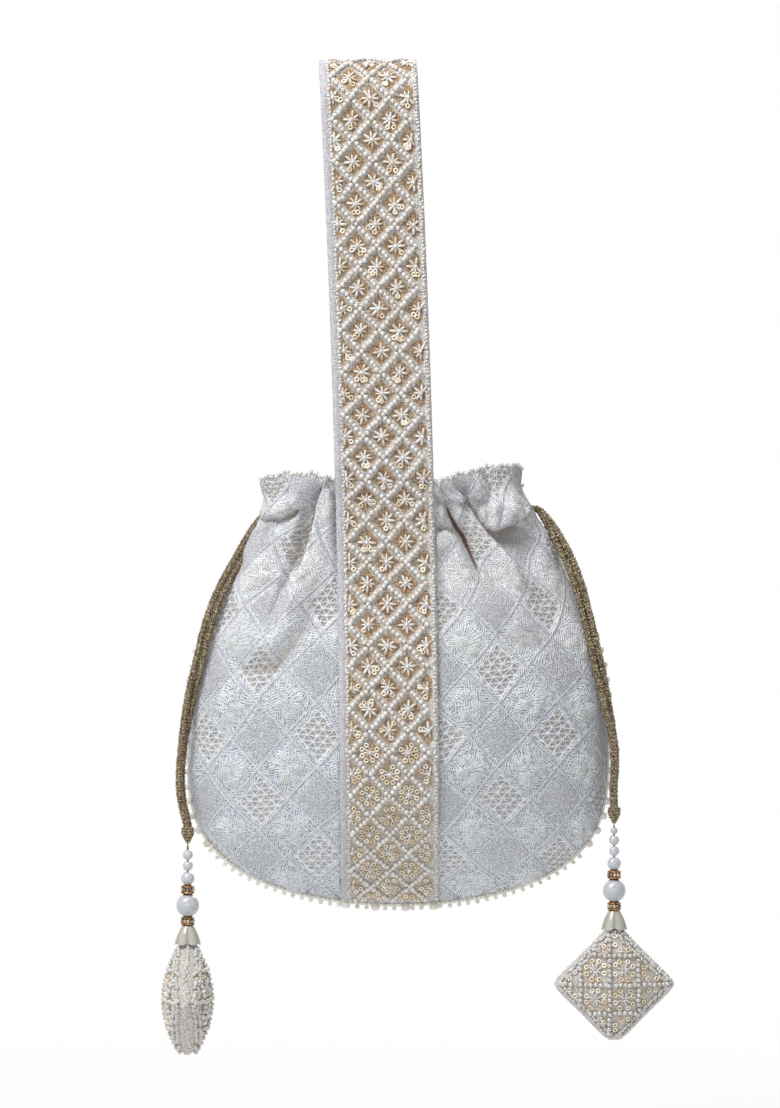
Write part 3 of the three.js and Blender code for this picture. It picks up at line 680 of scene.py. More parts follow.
def needlework(across, up):
    """Masks of the stitches at a place on the cloth, for numbers or for shader wires."""
    p = (across - CELL_ACROSS) / CELL_HALF_WIDTH
    q = up / CELL_HALF_HEIGHT
    m, n = (p + q) / 2, (p - q) / 2
    i, j = nearest(m), nearest(n)
    edges = [(0.5 - abs(m - i)) * LINE_PITCH, (0.5 - abs(n - j)) * LINE_PITCH]
    edge = lowest(*edges)
    x = (p - i - j) * CELL_HALF_WIDTH
    y = (q - i + j) * CELL_HALF_HEIGHT
    odd_i, odd_j = i % 2, j % 2
    net = (1 - odd_i) * (1 - odd_j)
    stipple = odd_i * odd_j
    satin = 1 - net - stipple
    inside = ramp(edge, 1.8, 2.5)
    cords = [ramp(reach, 0.6, 0.9) * (1 - ramp(reach, 1.4, 1.7)) * (ramp(way, -0.05, 0.05) * 0.8 + 0.2)
             for reach, way in zip(edges, (m - i, n - j))]
    couching = highest(*cords)
    band = 1 - ramp(edge, 0.4, 0.9)
    net_x = x + wave(y * 1.1 + i * 2) * NET_WAVER
    net_y = y + wave(x * 0.8 + j * 1.6) * NET_WAVER
    level = net_y / NET_ROW
    from_thread = abs(level - nearest(level)) * NET_ROW
    for slant in (1, -1):
        row = (net_x + net_y * (slant / NET_RISE)) / NET_PITCH
        from_thread = lowest(from_thread, abs(row - nearest(row)) * NET_GAP)
    hole = ramp(from_thread, NET_THREAD, NET_THREAD + 0.3) * net * ramp(edge, 2.2, 3.0)
    flipped = x * (1 - odd_i * 2)
    turned_x, turned_y = flipped - LEAF_PLACE[0], y - LEAF_PLACE[1]
    along = turned_x * math.cos(LEAF_TILT) + turned_y * math.sin(LEAF_TILT)
    over = turned_y * math.cos(LEAF_TILT) - turned_x * math.sin(LEAF_TILT)
    out = span(along / LEAF_SIZE[0], over / LEAF_SIZE[1])
    lobe_out = span(flipped - LOBE_PLACE[0], y - LOBE_PLACE[1]) / LOBE_RADIUS
    lobe = 1 - ramp(lobe_out, 0.84, 1.0)
    leaf = highest(1 - ramp(out, 0.86, 1.0), lobe) * satin * inside
    dome = highest(highest(1 - out * out, 1 - lobe_out * lobe_out), 0) * satin * inside
    stitches = wave(bearing(over, along) * FAN_STITCHES) * 0.5 + 0.5
    rays = ramp(along / (out + 0.01), LEAF_SIZE[0] * -0.3, LEAF_SIZE[0] * 0.15) * (1 - lobe)
    fan = ramp(out, 1.05, 1.2) * (1 - ramp(out, 2.3, 2.7)) * rays * satin * inside * stitches
    reach = span(flipped - ROSETTE_PLACE[0], y - ROSETTE_PLACE[1])
    rosette = (1 - ramp(reach, ROSETTE_RADIUS - 0.5, ROSETTE_RADIUS)) * satin * inside
    rings = (wave(reach * (2 * math.pi / ROSETTE_PITCH)) * 0.5 + 0.5) * rosette
    return {"couching": couching, "band": band, "hole": hole,
            "leaf": leaf, "fan": fan, "rings": rings, "dome": dome,
            "laid_threads": (wave(over * (2 * math.pi / SATIN_THREAD)) * 0.5 + 0.5) * leaf,
            "net_threads": (1 - ramp(from_thread, NET_THREAD, NET_THREAD + 0.3)) * net * inside,
            "stipple": stipple * inside, "pillow": ramp(edge, 0.5, 8.0) * (satin + stipple * 0.4)}


def embroidery_finish():
    """White stitching on white: bright cords and stitches, ivory satin, dim ground in the net with painted
    shade, painted shade in the folds and creases, and the upper cloth painted lighter.
    """
    material, bench, shader = new_finish("white_embroidery", Sheen_Weight=0.2, Specular_IOR_Level=0.35)
    cloth = bench.put("SeparateXYZ", {"Vector": bench.out(bench.mark("cloth"), "Vector")})
    across, up, painted_shade = (bench.out(cloth, k) for k in "XYZ")
    work = needlework(across, up)
    flat = bench.out(bench.put("CombineXYZ", {"X": across, "Y": up}))
    threads = bench.group(THREAD_GRAIN, Vector=flat, Scale=1.25)
    knots = bench.put("TexVoronoi", {"Vector": flat, "Scale": 1.2, "Randomness": 1.0})
    knot = 1 - ramp(bench.out(knots, "Distance"), 0.3, 0.75)
    patches = bench.put("TexVoronoi", {"Vector": flat, "Scale": STITCH_PATCHES})
    slant = bench.out(bench.put("SeparateColor", {"Color": bench.out(patches, "Color")})) * (2 * math.pi)
    run = bench.put("VectorRotate", {"Vector": flat, "Angle": slant})
    lie = bench.out(bench.put("SeparateXYZ", {"Vector": bench.out(run)})) * (2 * math.pi / STITCH_BREADTH)
    strokes = wave(lie + bench.speckle(flat, 0.3) * 9) * 0.5 + 0.5
    shade = strokes * 0.5 + bench.out(threads, "Shade") * 0.5
    crispness = ramp(up, -75.0, 30.0) * 0.45 + 0.55
    cover = ramp(shade, 0.12, 0.6)
    # painted light from above: towards the top the gaps between threads are painted paler and the threads
    # whiter
    painted_top_light = ramp(up, 5.0, 85.0)
    gaps = bench.mix(painted_top_light, dye(128, 131, 140), dye(174, 175, 180))
    white = bench.mix(cover, gaps, bench.mix(painted_top_light, dye(229, 234, 242), dye(250, 252, 254)))
    dotted = bench.mix(knot, bench.mix(0.55, gaps, dye(224, 226, 231)), dye(248, 249, 252))
    stippled = bench.mix(work["stipple"] * 0.6, white, dotted)
    banded = bench.mix(work["band"] * 0.7, stippled, bench.mix(cover, dye(172, 174, 186), dye(208, 210, 219)))
    couched = bench.mix(highest(work["couching"], work["net_threads"]) * 0.8, banded, dye(246, 247, 250))
    ivory = bench.mix(work["leaf"] * 0.4, couched, dye(232, 235, 226))
    stitched = bench.mix(lowest(work["fan"] + work["rings"], 1.0) * 0.7, ivory, dye(250, 251, 253))
    # the ground seen in the net's holes: the cloth under the net, greyed with painted shade
    ground = bench.mix(ramp(bench.speckle(flat, 0.12), 0.42, 0.6), dye(164, 167, 167), dye(194, 180, 169))
    netted = bench.mix(work["hole"] * crispness * 0.8, stitched, ground)
    # painted shade: a warm beige in the folds' dips, and dark brown in the deep creases
    fold_shade_tint = bench.mix(ramp(painted_shade, 1.8, 4.6) * 0.45, netted, dye(204, 184, 168))
    crease_shade_tint = bench.mix(ramp(painted_shade, 4.0, 8.0) * 0.9, fold_shade_tint, dye(88, 60, 40))
    coat(bench, shader, crease_shade_tint, 0.82 - work["leaf"] * 0.34 - shade * 0.1)
    height = (work["couching"] * 0.5 + work["fan"] * 0.45 + work["rings"] * 0.45 + work["laid_threads"] * 0.2
              + work["stipple"] * knot * 0.7 - work["hole"] * 0.6 + bench.out(threads, "Height") * 0.7
              + strokes * 0.3)
    relief(bench, shader, height * crispness)
    return material


EMBROIDERY = embroidery_finish()

# Body panels
PANEL_STEP = 0.95
PANEL_REACH = 125  # along the cloth from its middle to the seam
FOOT_STRETCH = 1.36  # the cloth's length below the belly to its height
SECTION_FLATNESS = 0.36  # depth to width of the bag's level sections
FOLD_FOOT = -345  # no folds are set below this level
TUCK_EDGE = 0.7
DEEPEST_FOLD = 11
PLEAT_DEPTH = 1.0  # small pleats where the cord draws the cloth in
PLEAT_PITCH = 6.6
PLEAT_REACH = 9
CREASE_CORE = 0.55  # share of a crease's breadth that gets its darkest painted shade
FOLD_SHADE_REACH = 5  # points each way that a fold's depth is judged against, for the painted shade of its dips
# the most painted shade a fold gets from its depth alone; the deep creases get more
DARKEST_FOLD_SHADE = 4.5
BACK_RUFFLE_DROP = 5

# Gathers of the front. A tuck is a step in the cloth: a line of x, z, fall and rise, the side that it
# falls to, seen walking along the line, and the breadths of its fall and its rise.
TUCKS = (
    (((-23, -222, 2, 2), (-25, -229, 4, 4), (-27, -238, 7, 6), (-31, -253, 8, 7), (-34.5, -266, 7, 6.5),
      (-39, -282, 3, 5), (-47, -302, 0.5, 2.5)), "right", 6.5, 15),
    (((-36, -241, 2, 3), (-38, -252, 4, 5), (-41, -264, 3, 5), (-47, -280, 1, 3)), "left", 5, 12),
    (((-43, -240, 3, 2), (-38, -236, 5, 3), (-32, -232, 4, 4), (-26, -227, 3, 3),
      (-19, -220, 2, 2)), "right", 4, 9),
    (((-60, -241, 2, 1), (-53, -242, 4, 3), (-46, -241, 5, 3), (-42, -239, 5, 3)), "right", 3.5, 8),
    (((52, -233, 6, 3), (56, -238, 9, 4), (59.5, -243.5, 9, 5), (63, -249, 7, 6), (69, -256, 5, 6),
      (75, -264, 3, 5), (80, -272, 1, 3)), "left", 8, 5.5),
    (((86, -237, 2, 2), (82, -241, 5, 4), (76, -245.5, 8, 6), (69, -249, 8, 6), (63, -247, 7, 6),
      (59, -241, 6, 5), (56, -235, 4, 3)), "left", 7, 11),
    (((36, -250, 3, 2), (41, -248.5, 6, 4), (46, -250.5, 6, 4), (49, -254, 3, 3)), "left", 4, 8),
    (((38, -231, 3, 2), (44, -233, 5, 3), (50, -233, 5, 3), (55, -231, 3, 2)), "right", 3.5, 8),
)
# Creases and swells: lines of x, z, rise and breadth
CREASES = (
    ((40, -226, -3, 2.2), (42, -234, -7, 2.2), (44.5, -241, -10, 2.4), (48, -247, -11, 2.6),
     (51.6, -251.5, -11, 2.6), (54, -258.5, -10, 2.8), (57.5, -267, -7, 3.2), (61, -277, -2, 4)),
    ((-44, -216, -2, 2.5), (-42, -226, -3, 2.5), (-40.5, -237, -6, 3)),
    ((59, -215, -2, 3), (65, -226, -4, 3), (60, -233, -5, 3)),
    ((76, -252, -4, 8), (84, -257, -3, 9)),
    ((-16, -232, -2, 3), (-15, -252, -1.5, 4)),
    ((-37, -272, 3, 7), (-40, -284, 5, 8), (-43, -297, 6, 8), (-52, -309, 5, 8), (-62, -317, 1, 9)),
    ((-49, -252, 4, 7), (-58, -266, 5, 8), (-64, -281, 5, 9), (-63, -298, 4, 9), (-58, -308, 2, 9)),
    ((-78, -314, -1, 6), (-64, -323, -3, 5), (-50, -321, -4, 5), (-39, -310, -3, 5), (-32, -298, -3, 6),
     (-28, -286, -1, 6)),
    ((-54, -279, -1.5, 2), (-46, -277, -1.5, 2)),
    ((43, -256, 5, 5), (50, -265, 6, 6.5), (57, -276, 6, 8), (66, -286, 6, 8), (78, -295, 5, 8),
     (90, -302, 1, 9)),
    ((58, -245, 3, 4.5), (66, -256, 5, 5), (75, -267, 5, 5.5), (82, -280, 2, 6)),
    ((60, -268, -3, 4), (66, -275, -4, 4.5), (72, -277, -1, 4)),
    ((62, -299, -1, 5), (72, -304, -3, 5), (82, -309, -4, 5), (94, -311, -1, 6)),
    ((40, -262, -2, 3), (41, -274, -2, 4), (43, -286, -0.5, 5)),
    ((-57, -249, 4, 6), (-63, -258, 3, 7)),
    ((93, -246, 4, 6), (98, -256, 3, 7)),
    ((-52, -223, 3, 7), (-51, -234, 3, 6)),
    ((-31, -219, 3, 9), (-30, -226, 4, 7)),
    ((48, -221, 3, 8), (55, -225, 4, 8)),
    ((70, -219, 4, 9), (72, -233, 7, 10)),
)
# The front ruffle's edge: x and height above the bottom
RUFFLE_EDGE = ((-58, 225.5), (-54, 226.6), (-43, 228.6), (-36, 228), (-28, 228), (-23, 227), (-17, 224.6),
               (11, 225.5), (35, 224.5), (39, 225), (44.6, 227.2), (50.6, 228.7), (58.7, 231), (64.7, 232),
               (72.8, 233.2), (79.4, 232), (88, 229))
FRILL = 0.55  # small waves along that edge


def section_turn(share):
    """The turn round the bag's level section at a share of the way from its middle to its seam."""
    turns = np.linspace(0, math.pi / 2, 400)
    speed = np.hypot(np.cos(turns), SECTION_FLATNESS * np.sin(turns))
    arc = np.concatenate([[0], np.cumsum((speed[1:] + speed[:-1]) / 2 * np.diff(turns))])
    return np.sign(share) * np.interp(np.abs(share) * arc[-1], arc, turns), arc[-1]


def nearest_on(line, x, z):
    """Each point's distance from a line, positive on its left, and the line's other values there."""
    knots = np.array(line, float)
    at = distances(knots[:, :2])
    fine = np.linspace(0, at[-1], int(at[-1]) + 2)
    lx, lz, first, second = (np.interp(fine, at, knots[:, k]) for k in range(4))
    ahead_x, ahead_z = np.gradient(lx), np.gradient(lz)
    gap = (x[:, None] - lx) ** 2 + (z[:, None] - lz) ** 2
    k = gap.argmin(1)
    side = ahead_x[k] * (z - lz[k]) - ahead_z[k] * (x - lx[k])
    return np.sqrt(gap[np.arange(len(x)), k]) * np.where(side < 0, -1, 1), first[k], second[k]


def gathers(x, z):
    """How far the cloth stands out from, or falls behind, the bag's plain form, and the painted shade of its
    deep creases.
    """
    shift, dark = np.zeros_like(x), np.zeros_like(x)
    near = z > FOLD_FOOT
    px, pz = x[near], z[near]
    for line, low_side, fall_breadth, rise_breadth in TUCKS:
        far, fall, rise = nearest_on(line, px, pz)
        far = far if low_side == "right" else -far
        high = 0.5 + 0.5 * np.tanh(far / TUCK_EDGE)
        shift[near] += rise * np.exp(-(far / rise_breadth) ** 2) * high
        shift[near] -= fall * np.exp(-np.abs(far / fall_breadth) ** 1.6) * (1 - high)
    for line in CREASES:
        far, rise, breadth = nearest_on(line, px, pz)
        far = np.abs(far) / breadth
        shift[near] += rise * np.where(rise < 0, np.exp(-far ** 1.25), np.exp(-far ** 2))
        # dark is painted shade along the deep creases, darkest at their core
        dark[near] = np.maximum(dark[near], np.maximum(-rise, 0) * np.exp(-(far / CREASE_CORE) ** 2))
    drawn = np.exp(-((z - BAG_BOTTOM_Z - CASING_HEIGHT) / PLEAT_REACH) ** 2)
    shift += PLEAT_DEPTH * drawn * np.sin(x * 2 * math.pi / PLEAT_PITCH + 1.3 * np.sin(x * 0.21))
    return np.where(shift < 0, -DEEPEST_FOLD * np.tanh(-shift / DEEPEST_FOLD), shift), dark


def cloth_level(height):
    """Height along the cloth, from the level of the net cell that the pattern is set by."""
    fine = np.linspace(0, MOUTH_HEIGHT + 4, 1200)
    rise = np.hypot(np.diff(fine), np.diff(half_depth(fine)) * (fine[1:] < BELLY_HEIGHT))
    along = np.concatenate([[0], np.cumsum(rise)])
    return np.interp(height, fine, along) - np.interp(CELL_LEVEL, fine, along)


def drifted(across, up):
    """The pattern's own waver: cloth is never quite square."""
    return (across + 1.5 * np.sin(up / 23 + across / 61 + 0.6) + 0.7 * np.sin(up / 9 - across / 17),
            up + 1.4 * np.sin(across / 19 + 1.1) + 0.7 * np.sin(across / 8 + up / 21))


def panel_rows():
    """Heights of the rows of points, evenly spread along the cloth."""
    steps = int(BELLY_HEIGHT * FOOT_STRETCH / PANEL_STEP)
    low = BELLY_HEIGHT * (1 - np.cos(np.linspace(0, math.pi / 2, steps + 1)[1:]))
    high = np.arange(BELLY_HEIGHT + PANEL_STEP, MOUTH_HEIGHT, PANEL_STEP)
    return np.concatenate([low, high, [MOUTH_HEIGHT]])


def blurred(values, reach):
    """Each value's mean over a square of its neighbours."""
    width = 2 * reach + 1
    for axis in (0, 1):
        ends = [(reach + 1, reach) if k == axis else (0, 0) for k in (0, 1)]
        sums = np.cumsum(np.pad(values, ends, mode="edge"), axis=axis)
        count = values.shape[axis]
        before, after = (np.take(sums, range(first, first + count), axis) for first in (0, width))
        values = (after - before) / width
    return values


def raised(work):
    """How far the stitches stand up from the cloth."""
    return (work["couching"] * 0.4 - work["band"] * 0.1 - work["hole"] * 0.6 + work["dome"] * 0.9
            + work["fan"] * 0.15 + work["rings"] * 0.2 + work["pillow"] * 0.9)


def cloth_panel(name, side, node):
    """One side of the bag, with its folds and stitches, and the line of its upper edge."""
    heights = panel_rows()
    columns = int(2 * PANEL_REACH / PANEL_STEP)
    share, height = np.meshgrid(np.linspace(-1, 1, columns + 1), heights)
    turn, arc = section_turn(share)
    width, depth = half_width(height), half_depth(height)
    across = np.sin(turn)
    lean = np.where(share > 0, RUFFLE_LEAN * ramp(height, CASING_HEIGHT, MOUTH_HEIGHT - 6), 0)
    x = middle_x(height) + width * across * (1 - lean)
    front_x = -side * (x - BAG_X) + BAG_X
    drop = np.interp(front_x, *zip(*RUFFLE_EDGE)) - MOUTH_HEIGHT - BACK_RUFFLE_DROP * (side > 0)
    drop = drop + FRILL * (np.sin(front_x * 0.83) + 0.8 * np.sin(front_x * 0.41 + 1))
    z = BAG_BOTTOM_Z + height + drop * ramp(height, CASING_HEIGHT, MOUTH_HEIGHT)
    reach = np.where(height < BELLY_HEIGHT, width, BELLY_HALF_WIDTH) * arc
    cloth_across, cloth_up = drifted(share * reach, cloth_level(height))
    half, from_strap = STRAP_WIDTH / 2, np.abs(x - strap_x(z))
    free = ramp(from_strap, half - 2, half + 3) * (1 - np.abs(share) ** 12)
    folds, dark = (part.reshape(x.shape) * free for part in gathers(front_x.ravel(), z.ravel()))
    # painted shade, kept in the cloth mark: how far the cloth lies below its neighbours, and behind its plain
    # form
    painted_shade = np.maximum(blurred(folds, FOLD_SHADE_REACH) - folds, 0) + np.maximum(-folds, 0) * 0.35
    # less painted shade on the ruffle above the casing
    paler = 1 - 0.5 * ramp(height, CASING_HEIGHT, CASING_HEIGHT + 8)
    painted_shade = np.maximum(np.minimum(painted_shade, DARKEST_FOLD_SHADE), dark) * paler
    push = folds + raised(needlework(cloth_across, cloth_up)) * ramp(from_strap, half, half + 1)
    normal_x, normal_y = across / width, np.cos(turn) / depth
    size = np.hypot(normal_x, normal_y)
    opening = mixed(SEAM_HALF_GAP, CORD_SLIT_HALF_WIDTH, ramp(height, CASING_LOW - 7, CASING_LOW))
    slit = opening * np.abs(across) ** SLIT_POWER + SEAM_HALF_GAP
    x = x + push * normal_x / size
    y = side * (slit + depth * np.cos(turn) + push * normal_y / size)
    points = listed(x, y, z)
    faces = grid_faces(len(heights), columns + 1)
    pole = len(points)
    points = np.vstack([points, (BAG_X, side * 2 * SEAM_HALF_GAP, BAG_BOTTOM_Z)])
    faces += [[pole, c + 1, c] for c in range(columns)]
    if side > 0:
        faces = [face[::-1] for face in faces]
    # the cloth mark: place across, place up, and the painted shade of the folds
    marks = listed(cloth_across * -side, cloth_up, painted_shade)
    marks = np.vstack([marks, (0, marks[0, 1], 0)])
    panel = new_piece(name, points, faces, EMBROIDERY, "bag", [node], {"cloth": marks})
    return panel, np.stack([x[-1], y[-1], z[-1]], 1)


front_cloth, front_edge = cloth_panel("embroidered_front", -1, "front_panel")
back_cloth, back_edge = cloth_panel("embroidered_back", 1, "back_panel")

PLATE_GRAIN = 900.0  # in a metre


def pearl_finish(name, white, cream, blush):
    material, bench, shader = new_finish(name, Coat_Weight=0.7, Coat_Roughness=0.1, Specular_IOR_Level=0.6)
    lustre = bench.group(PEARL_LUSTRE, Tone=bench.out(bench.mark("tone"), "Fac"), Vector=bench.place(),
                         White=white, Cream=cream, Blush=blush)
    coat(bench, shader, bench.out(lustre, "Color"), bench.out(lustre, "Roughness"))
    return material


def gold_finish(name, metallic, bright, dark):
    material, bench, shader = new_finish(name, Metallic=metallic)
    metal = bench.group(RUBBED_METAL, Vector=bench.place(), Scale=PLATE_GRAIN,
                        Tone=bench.out(bench.mark("tone"), "Fac"), Bright=bright, Dark=dark)
    coat(bench, shader, bench.out(metal, "Color"), bench.out(metal, "Roughness"))
    return material


PEARL = pearl_finish("cream_pearl", dye(228, 227, 225), dye(220, 211, 198), dye(218, 203, 201))
SATIN_PEARL = pearl_finish("white_pearl", dye(196, 199, 205), dye(184, 187, 193), dye(189, 190, 195))
PETAL_WHITE = pearl_finish("white_bugle", dye(238, 238, 238), dye(226, 218, 205), dye(212, 190, 166))
SILVER_BUGLE = pearl_finish("silver_bugle", dye(226, 226, 226), dye(214, 202, 184), dye(196, 168, 136))
SEAM_CREAM = pearl_finish("seam_pearl", dye(240, 239, 233), dye(230, 225, 212), dye(220, 210, 192))
CHARM_CREAM = pearl_finish("charm_bead", dye(212, 211, 209), dye(200, 195, 188), dye(196, 183, 173))
SEQUIN_GOLD = gold_finish("gold_sequin", 0.2, dye(254, 247, 232), dye(226, 204, 168))
MOUNT_GOLD = gold_finish("gold_mount", 0.75, dye(178, 140, 92), dye(86, 58, 36))

# Beaded strap
STRAP_GAP = 0.65  # its underside's clearance over the body's plain depth
STRAP_THICKNESS = 1.8
STRAP_END_HEIGHT = 3
ARCH_RADIUS = 23
DIAMOND_WIDTH = 20.4
DIAMOND_HEIGHT = 22.5
TAPE_STEP = 1.8
PEARLS_A_SIDE = 6
LATTICE_PEARL_RADIUS = 1.38
PETALS = 8
HEART_RADIUS = 1.15
PETAL_SIZE = (0.78, 2.4, 0.66)
RING_RADIUS = 1.5
FLOWER_RING_PLACE = 4.3
RING_TUBE = 0.32  # thickness of a sequin's rim to its radius
PEARL_SCATTER = 0.24
PIPING_THREAD = 0.8
PIPING_EDGE = (-23.0, -22.4)  # where the piping ends and the tan ground begins and ends, across
GROUND_LEFT = (-21.2, -20.4)
GROUND_RIGHT = (22.6, 23.2)
PIPING_PROFILE = ((4.0, 2.1), (3.2, 2.7), (2.0, 2.9), (0.8, 2.6), (0, 1.6))  # in from the edge, height
EDGING_COLUMNS = (-21.6, 24.4)
EDGING_PITCH = 1.8
EDGING_SLANT = 0.7
EDGING_SIZE = (1.2, 0.66, 0.7)
RINGED_ROWS = 9  # half diamonds at each end whose flowers are ringed with sequins


def strap_line():
    """The strap's underside, up the front, over the top and down the back."""
    heights = np.concatenate([[STRAP_END_HEIGHT], np.linspace(8, MOUTH_HEIGHT, 60)])
    front = np.stack([heights * 0, -(half_depth(heights) + STRAP_GAP), BAG_BOTTOM_Z + heights], 1)
    leg = np.linspace(front[-1], (0, -ARCH_RADIUS, -ARCH_RADIUS), 20)[1:]
    turn = np.linspace(0, math.pi / 2, 14)[1:]
    arch = np.stack([turn * 0, -ARCH_RADIUS * np.cos(turn), ARCH_RADIUS * (np.sin(turn) - 1)], 1)
    half = np.vstack([front, leg, arch])
    return np.vstack([half, half[-2::-1] * (1, -1, 1)])


STRAP_LINE = strap_line()
STRAP_LENGTH = distances(STRAP_LINE)[-1]
HALF_DIAMONDS = 2 * round(STRAP_LENGTH / DIAMOND_HEIGHT)
HALF_DIAMOND = STRAP_LENGTH / HALF_DIAMONDS


def on_strap(across, place, lift):
    """Points on the strap, with axes across it, along it and out from it."""
    across, place, lift = np.broadcast_arrays(*(np.asarray(v, float) for v in (across, place, lift)))
    point, along = points_at(STRAP_LINE, place.ravel())
    out = np.stack([along[:, 0] * 0, -along[:, 2], along[:, 1]], 1)
    point = point + out * lift.ravel()[:, None]
    point[:, 0] = strap_x(point[:, 2]) + across.ravel()
    sideways = np.repeat([[1.0, 0, 0]], len(point), 0)
    return point, np.stack([sideways, along, out], 2)


def tape_finish():
    """The strap's ground: tan zari net in the diamonds, white under the pearls and at the borders."""
    material, bench, shader = new_finish("strap_ground", Specular_IOR_Level=0.4)
    tape = bench.put("SeparateXYZ", {"Vector": bench.out(bench.mark("tape"), "Vector")})
    across, along, paleness = (bench.out(tape, k) for k in "XYZ")
    flat = bench.out(bench.put("CombineXYZ", {"X": across, "Y": along * HALF_DIAMOND}))
    u = across / (DIAMOND_WIDTH / 2)
    gap = 1.0
    for line in ((u + along) / 2, (u - along) / 2):
        gap = lowest(abs(line - nearest(line)), gap)
    threads = bench.group(THREAD_GRAIN, Vector=flat, Scale=1.3)
    shade = bench.out(threads, "Shade")
    russet = bench.mix(ramp(bench.speckle(flat, 0.3), 0.42, 0.62), dye(199, 176, 146), dye(200, 164, 128))
    tan = bench.mix(shade, dye(121, 97, 74), russet)
    pale = bench.mix(paleness * 0.6, tan, dye(204, 196, 182))
    white = bench.mix(shade, dye(182, 176, 170), dye(230, 227, 223))
    within = ramp(across, *GROUND_LEFT) * (1 - ramp(across, *GROUND_RIGHT))
    sewn = bench.mix(ramp(gap, 0.11, 0.2) * within, white, pale)
    lengthwise = wave(across * (2 * math.pi / PIPING_THREAD)) * 0.5 + 0.5
    piping = bench.mix(lengthwise * 0.3 + shade * 0.7, dye(172, 171, 178), dye(218, 217, 222))
    ground = bench.mix(1 - ramp(across, *PIPING_EDGE), sewn, piping)
    coat(bench, shader, ground, 0.75 - shade * 0.3)
    relief(bench, shader, bench.out(threads, "Height"), 0.9)
    return material


def lay_tape():
    """The strap's cloth: a closed band with a smooth piping along its left border."""
    half = STRAP_WIDTH / 2
    top = [(half, 0.9), (half - 0.5, STRAP_THICKNESS)]
    top += [(x, STRAP_THICKNESS) for x in np.linspace(half - 2.5, -half + 5.2, 17)]
    top += [(x - half, lift) for x, lift in PIPING_PROFILE]
    ring = np.array([(-half + 0.2, 0), (-half / 3, 0), (half / 3, 0), (half - 0.2, 0), *top])
    places = np.linspace(0, STRAP_LENGTH, int(STRAP_LENGTH / TAPE_STEP))
    place, across = np.meshgrid(places, ring[:, 0], indexing="ij")
    points, _ = on_strap(across, place, np.broadcast_to(ring[:, 1], place.shape))
    faces = grid_faces(len(places), len(ring), ring=True)
    count = len(points)
    faces += [list(range(len(ring)))[::-1], list(range(count - len(ring), count))]
    ends = np.minimum(place, STRAP_LENGTH - place) / HALF_DIAMOND
    paleness = 1 - ramp(ends, RINGED_ROWS - 4, RINGED_ROWS + 1)
    return new_piece("strap_tape", points, faces, tape_finish(), "bag", ["beaded_strap"],
                     {"tape": listed(across, place / HALF_DIAMOND, paleness)})


def on_tape(spots, clear=1.0):
    """Those of some spots, across and along, that lie clear of the strap's ends."""
    return spots[(spots[:, 1] > clear) & (spots[:, 1] < STRAP_LENGTH - clear)]


def lattice_pearls(rng):
    """Pearls at the crossings of the strap's lattice and between them."""
    shares = np.arange(1, PEARLS_A_SIDE) / PEARLS_A_SIDE
    spots = []
    for k in range(HALF_DIAMONDS + 1):
        for u in (-2, 0, 2) if k % 2 == 0 else (-1, 1):
            spots.append((u, k))
            for step in (-1, 1):
                if k < HALF_DIAMONDS and abs(u + step) <= 2:
                    spots += [(u + step * share, k + share) for share in shares]
    spots = np.array(spots) * (DIAMOND_WIDTH / 2, HALF_DIAMOND)
    spots += rng.normal(0, PEARL_SCATTER, (2, len(spots))).T
    across, place = on_tape(spots, 0.8).T
    size = LATTICE_PEARL_RADIUS * rng.uniform(0.9, 1.1, len(across))
    origins, axes = on_strap(across, place, STRAP_THICKNESS + size * 0.8)
    axes = axes * size[:, None, None]
    return sew("strap_lattice_pearls", round_bead(8, 5), origins, axes, rng, PEARL)


def petal():
    """A bugle petal lying along its second axis, its inner end at the middle."""
    points, faces = round_bead(6, 4)
    bead = np.stack([points[:, 0], points[:, 2] + 1.04, points[:, 1]], 1)
    return bead * PETAL_SIZE, faces


def spun(axes, turns):
    """Axes turned about their third axis."""
    c, s = np.cos(turns), np.sin(turns)
    zero, one = turns * 0, turns * 0 + 1
    rows = ((c, -s, zero), (s, c, zero), (zero, zero, one))
    return axes @ np.stack([np.stack(row, 1) for row in rows], 1)


def plan_flowers(rng):
    """Where the petals, sequins and hearts of the strap's flowers lie."""
    petals, rings, hearts = [], [], []
    for k in range(HALF_DIAMONDS + 1):
        from_end = min(k, HALF_DIAMONDS - k)
        ringed = from_end < RINGED_ROWS
        for u in (-1, 1) if k % 2 == 0 else (-2, 0, 2):
            across = u * DIAMOND_WIDTH / 2 + (u == -2) * 0.6 + (u == 2) * 0.3
            across, along = across + rng.normal(0, 0.25), k * HALF_DIAMOND + rng.normal(0, 0.25)
            start = rng.uniform(-0.2, 0.2)
            hearts.append((across, along))
            for n in range(PETALS):
                turn = start + n * 2 * math.pi / PETALS + rng.normal(0, 0.07)
                if u == -2 and math.sin(turn) > 0.2 or u == 2 and -math.sin(turn) > 0.75:
                    continue
                petals.append((across, along, turn, rng.uniform(0.75, 1.15) * (0.8 if ringed else 1)))
            if ringed:
                spots = [n * 2 * math.pi / 8 + math.pi / 8 for n in range(8) if rng.random() < 0.92]
            elif from_end < RINGED_ROWS + 3:
                spots = list(rng.uniform(-math.pi, math.pi, 3))
            else:
                spots = list(rng.normal(math.pi, 0.7, rng.integers(0, 4)))
            for turn in spots:
                if u == -2 and math.sin(turn) > -0.25 or u == 2 and -math.sin(turn) > 0.2:
                    continue
                reach = FLOWER_RING_PLACE * rng.uniform(0.93, 1.05)
                rings.append((across - math.sin(turn) * reach, along + math.cos(turn) * reach))
    return (on_tape(np.array(spots)) for spots in (petals, rings, hearts))


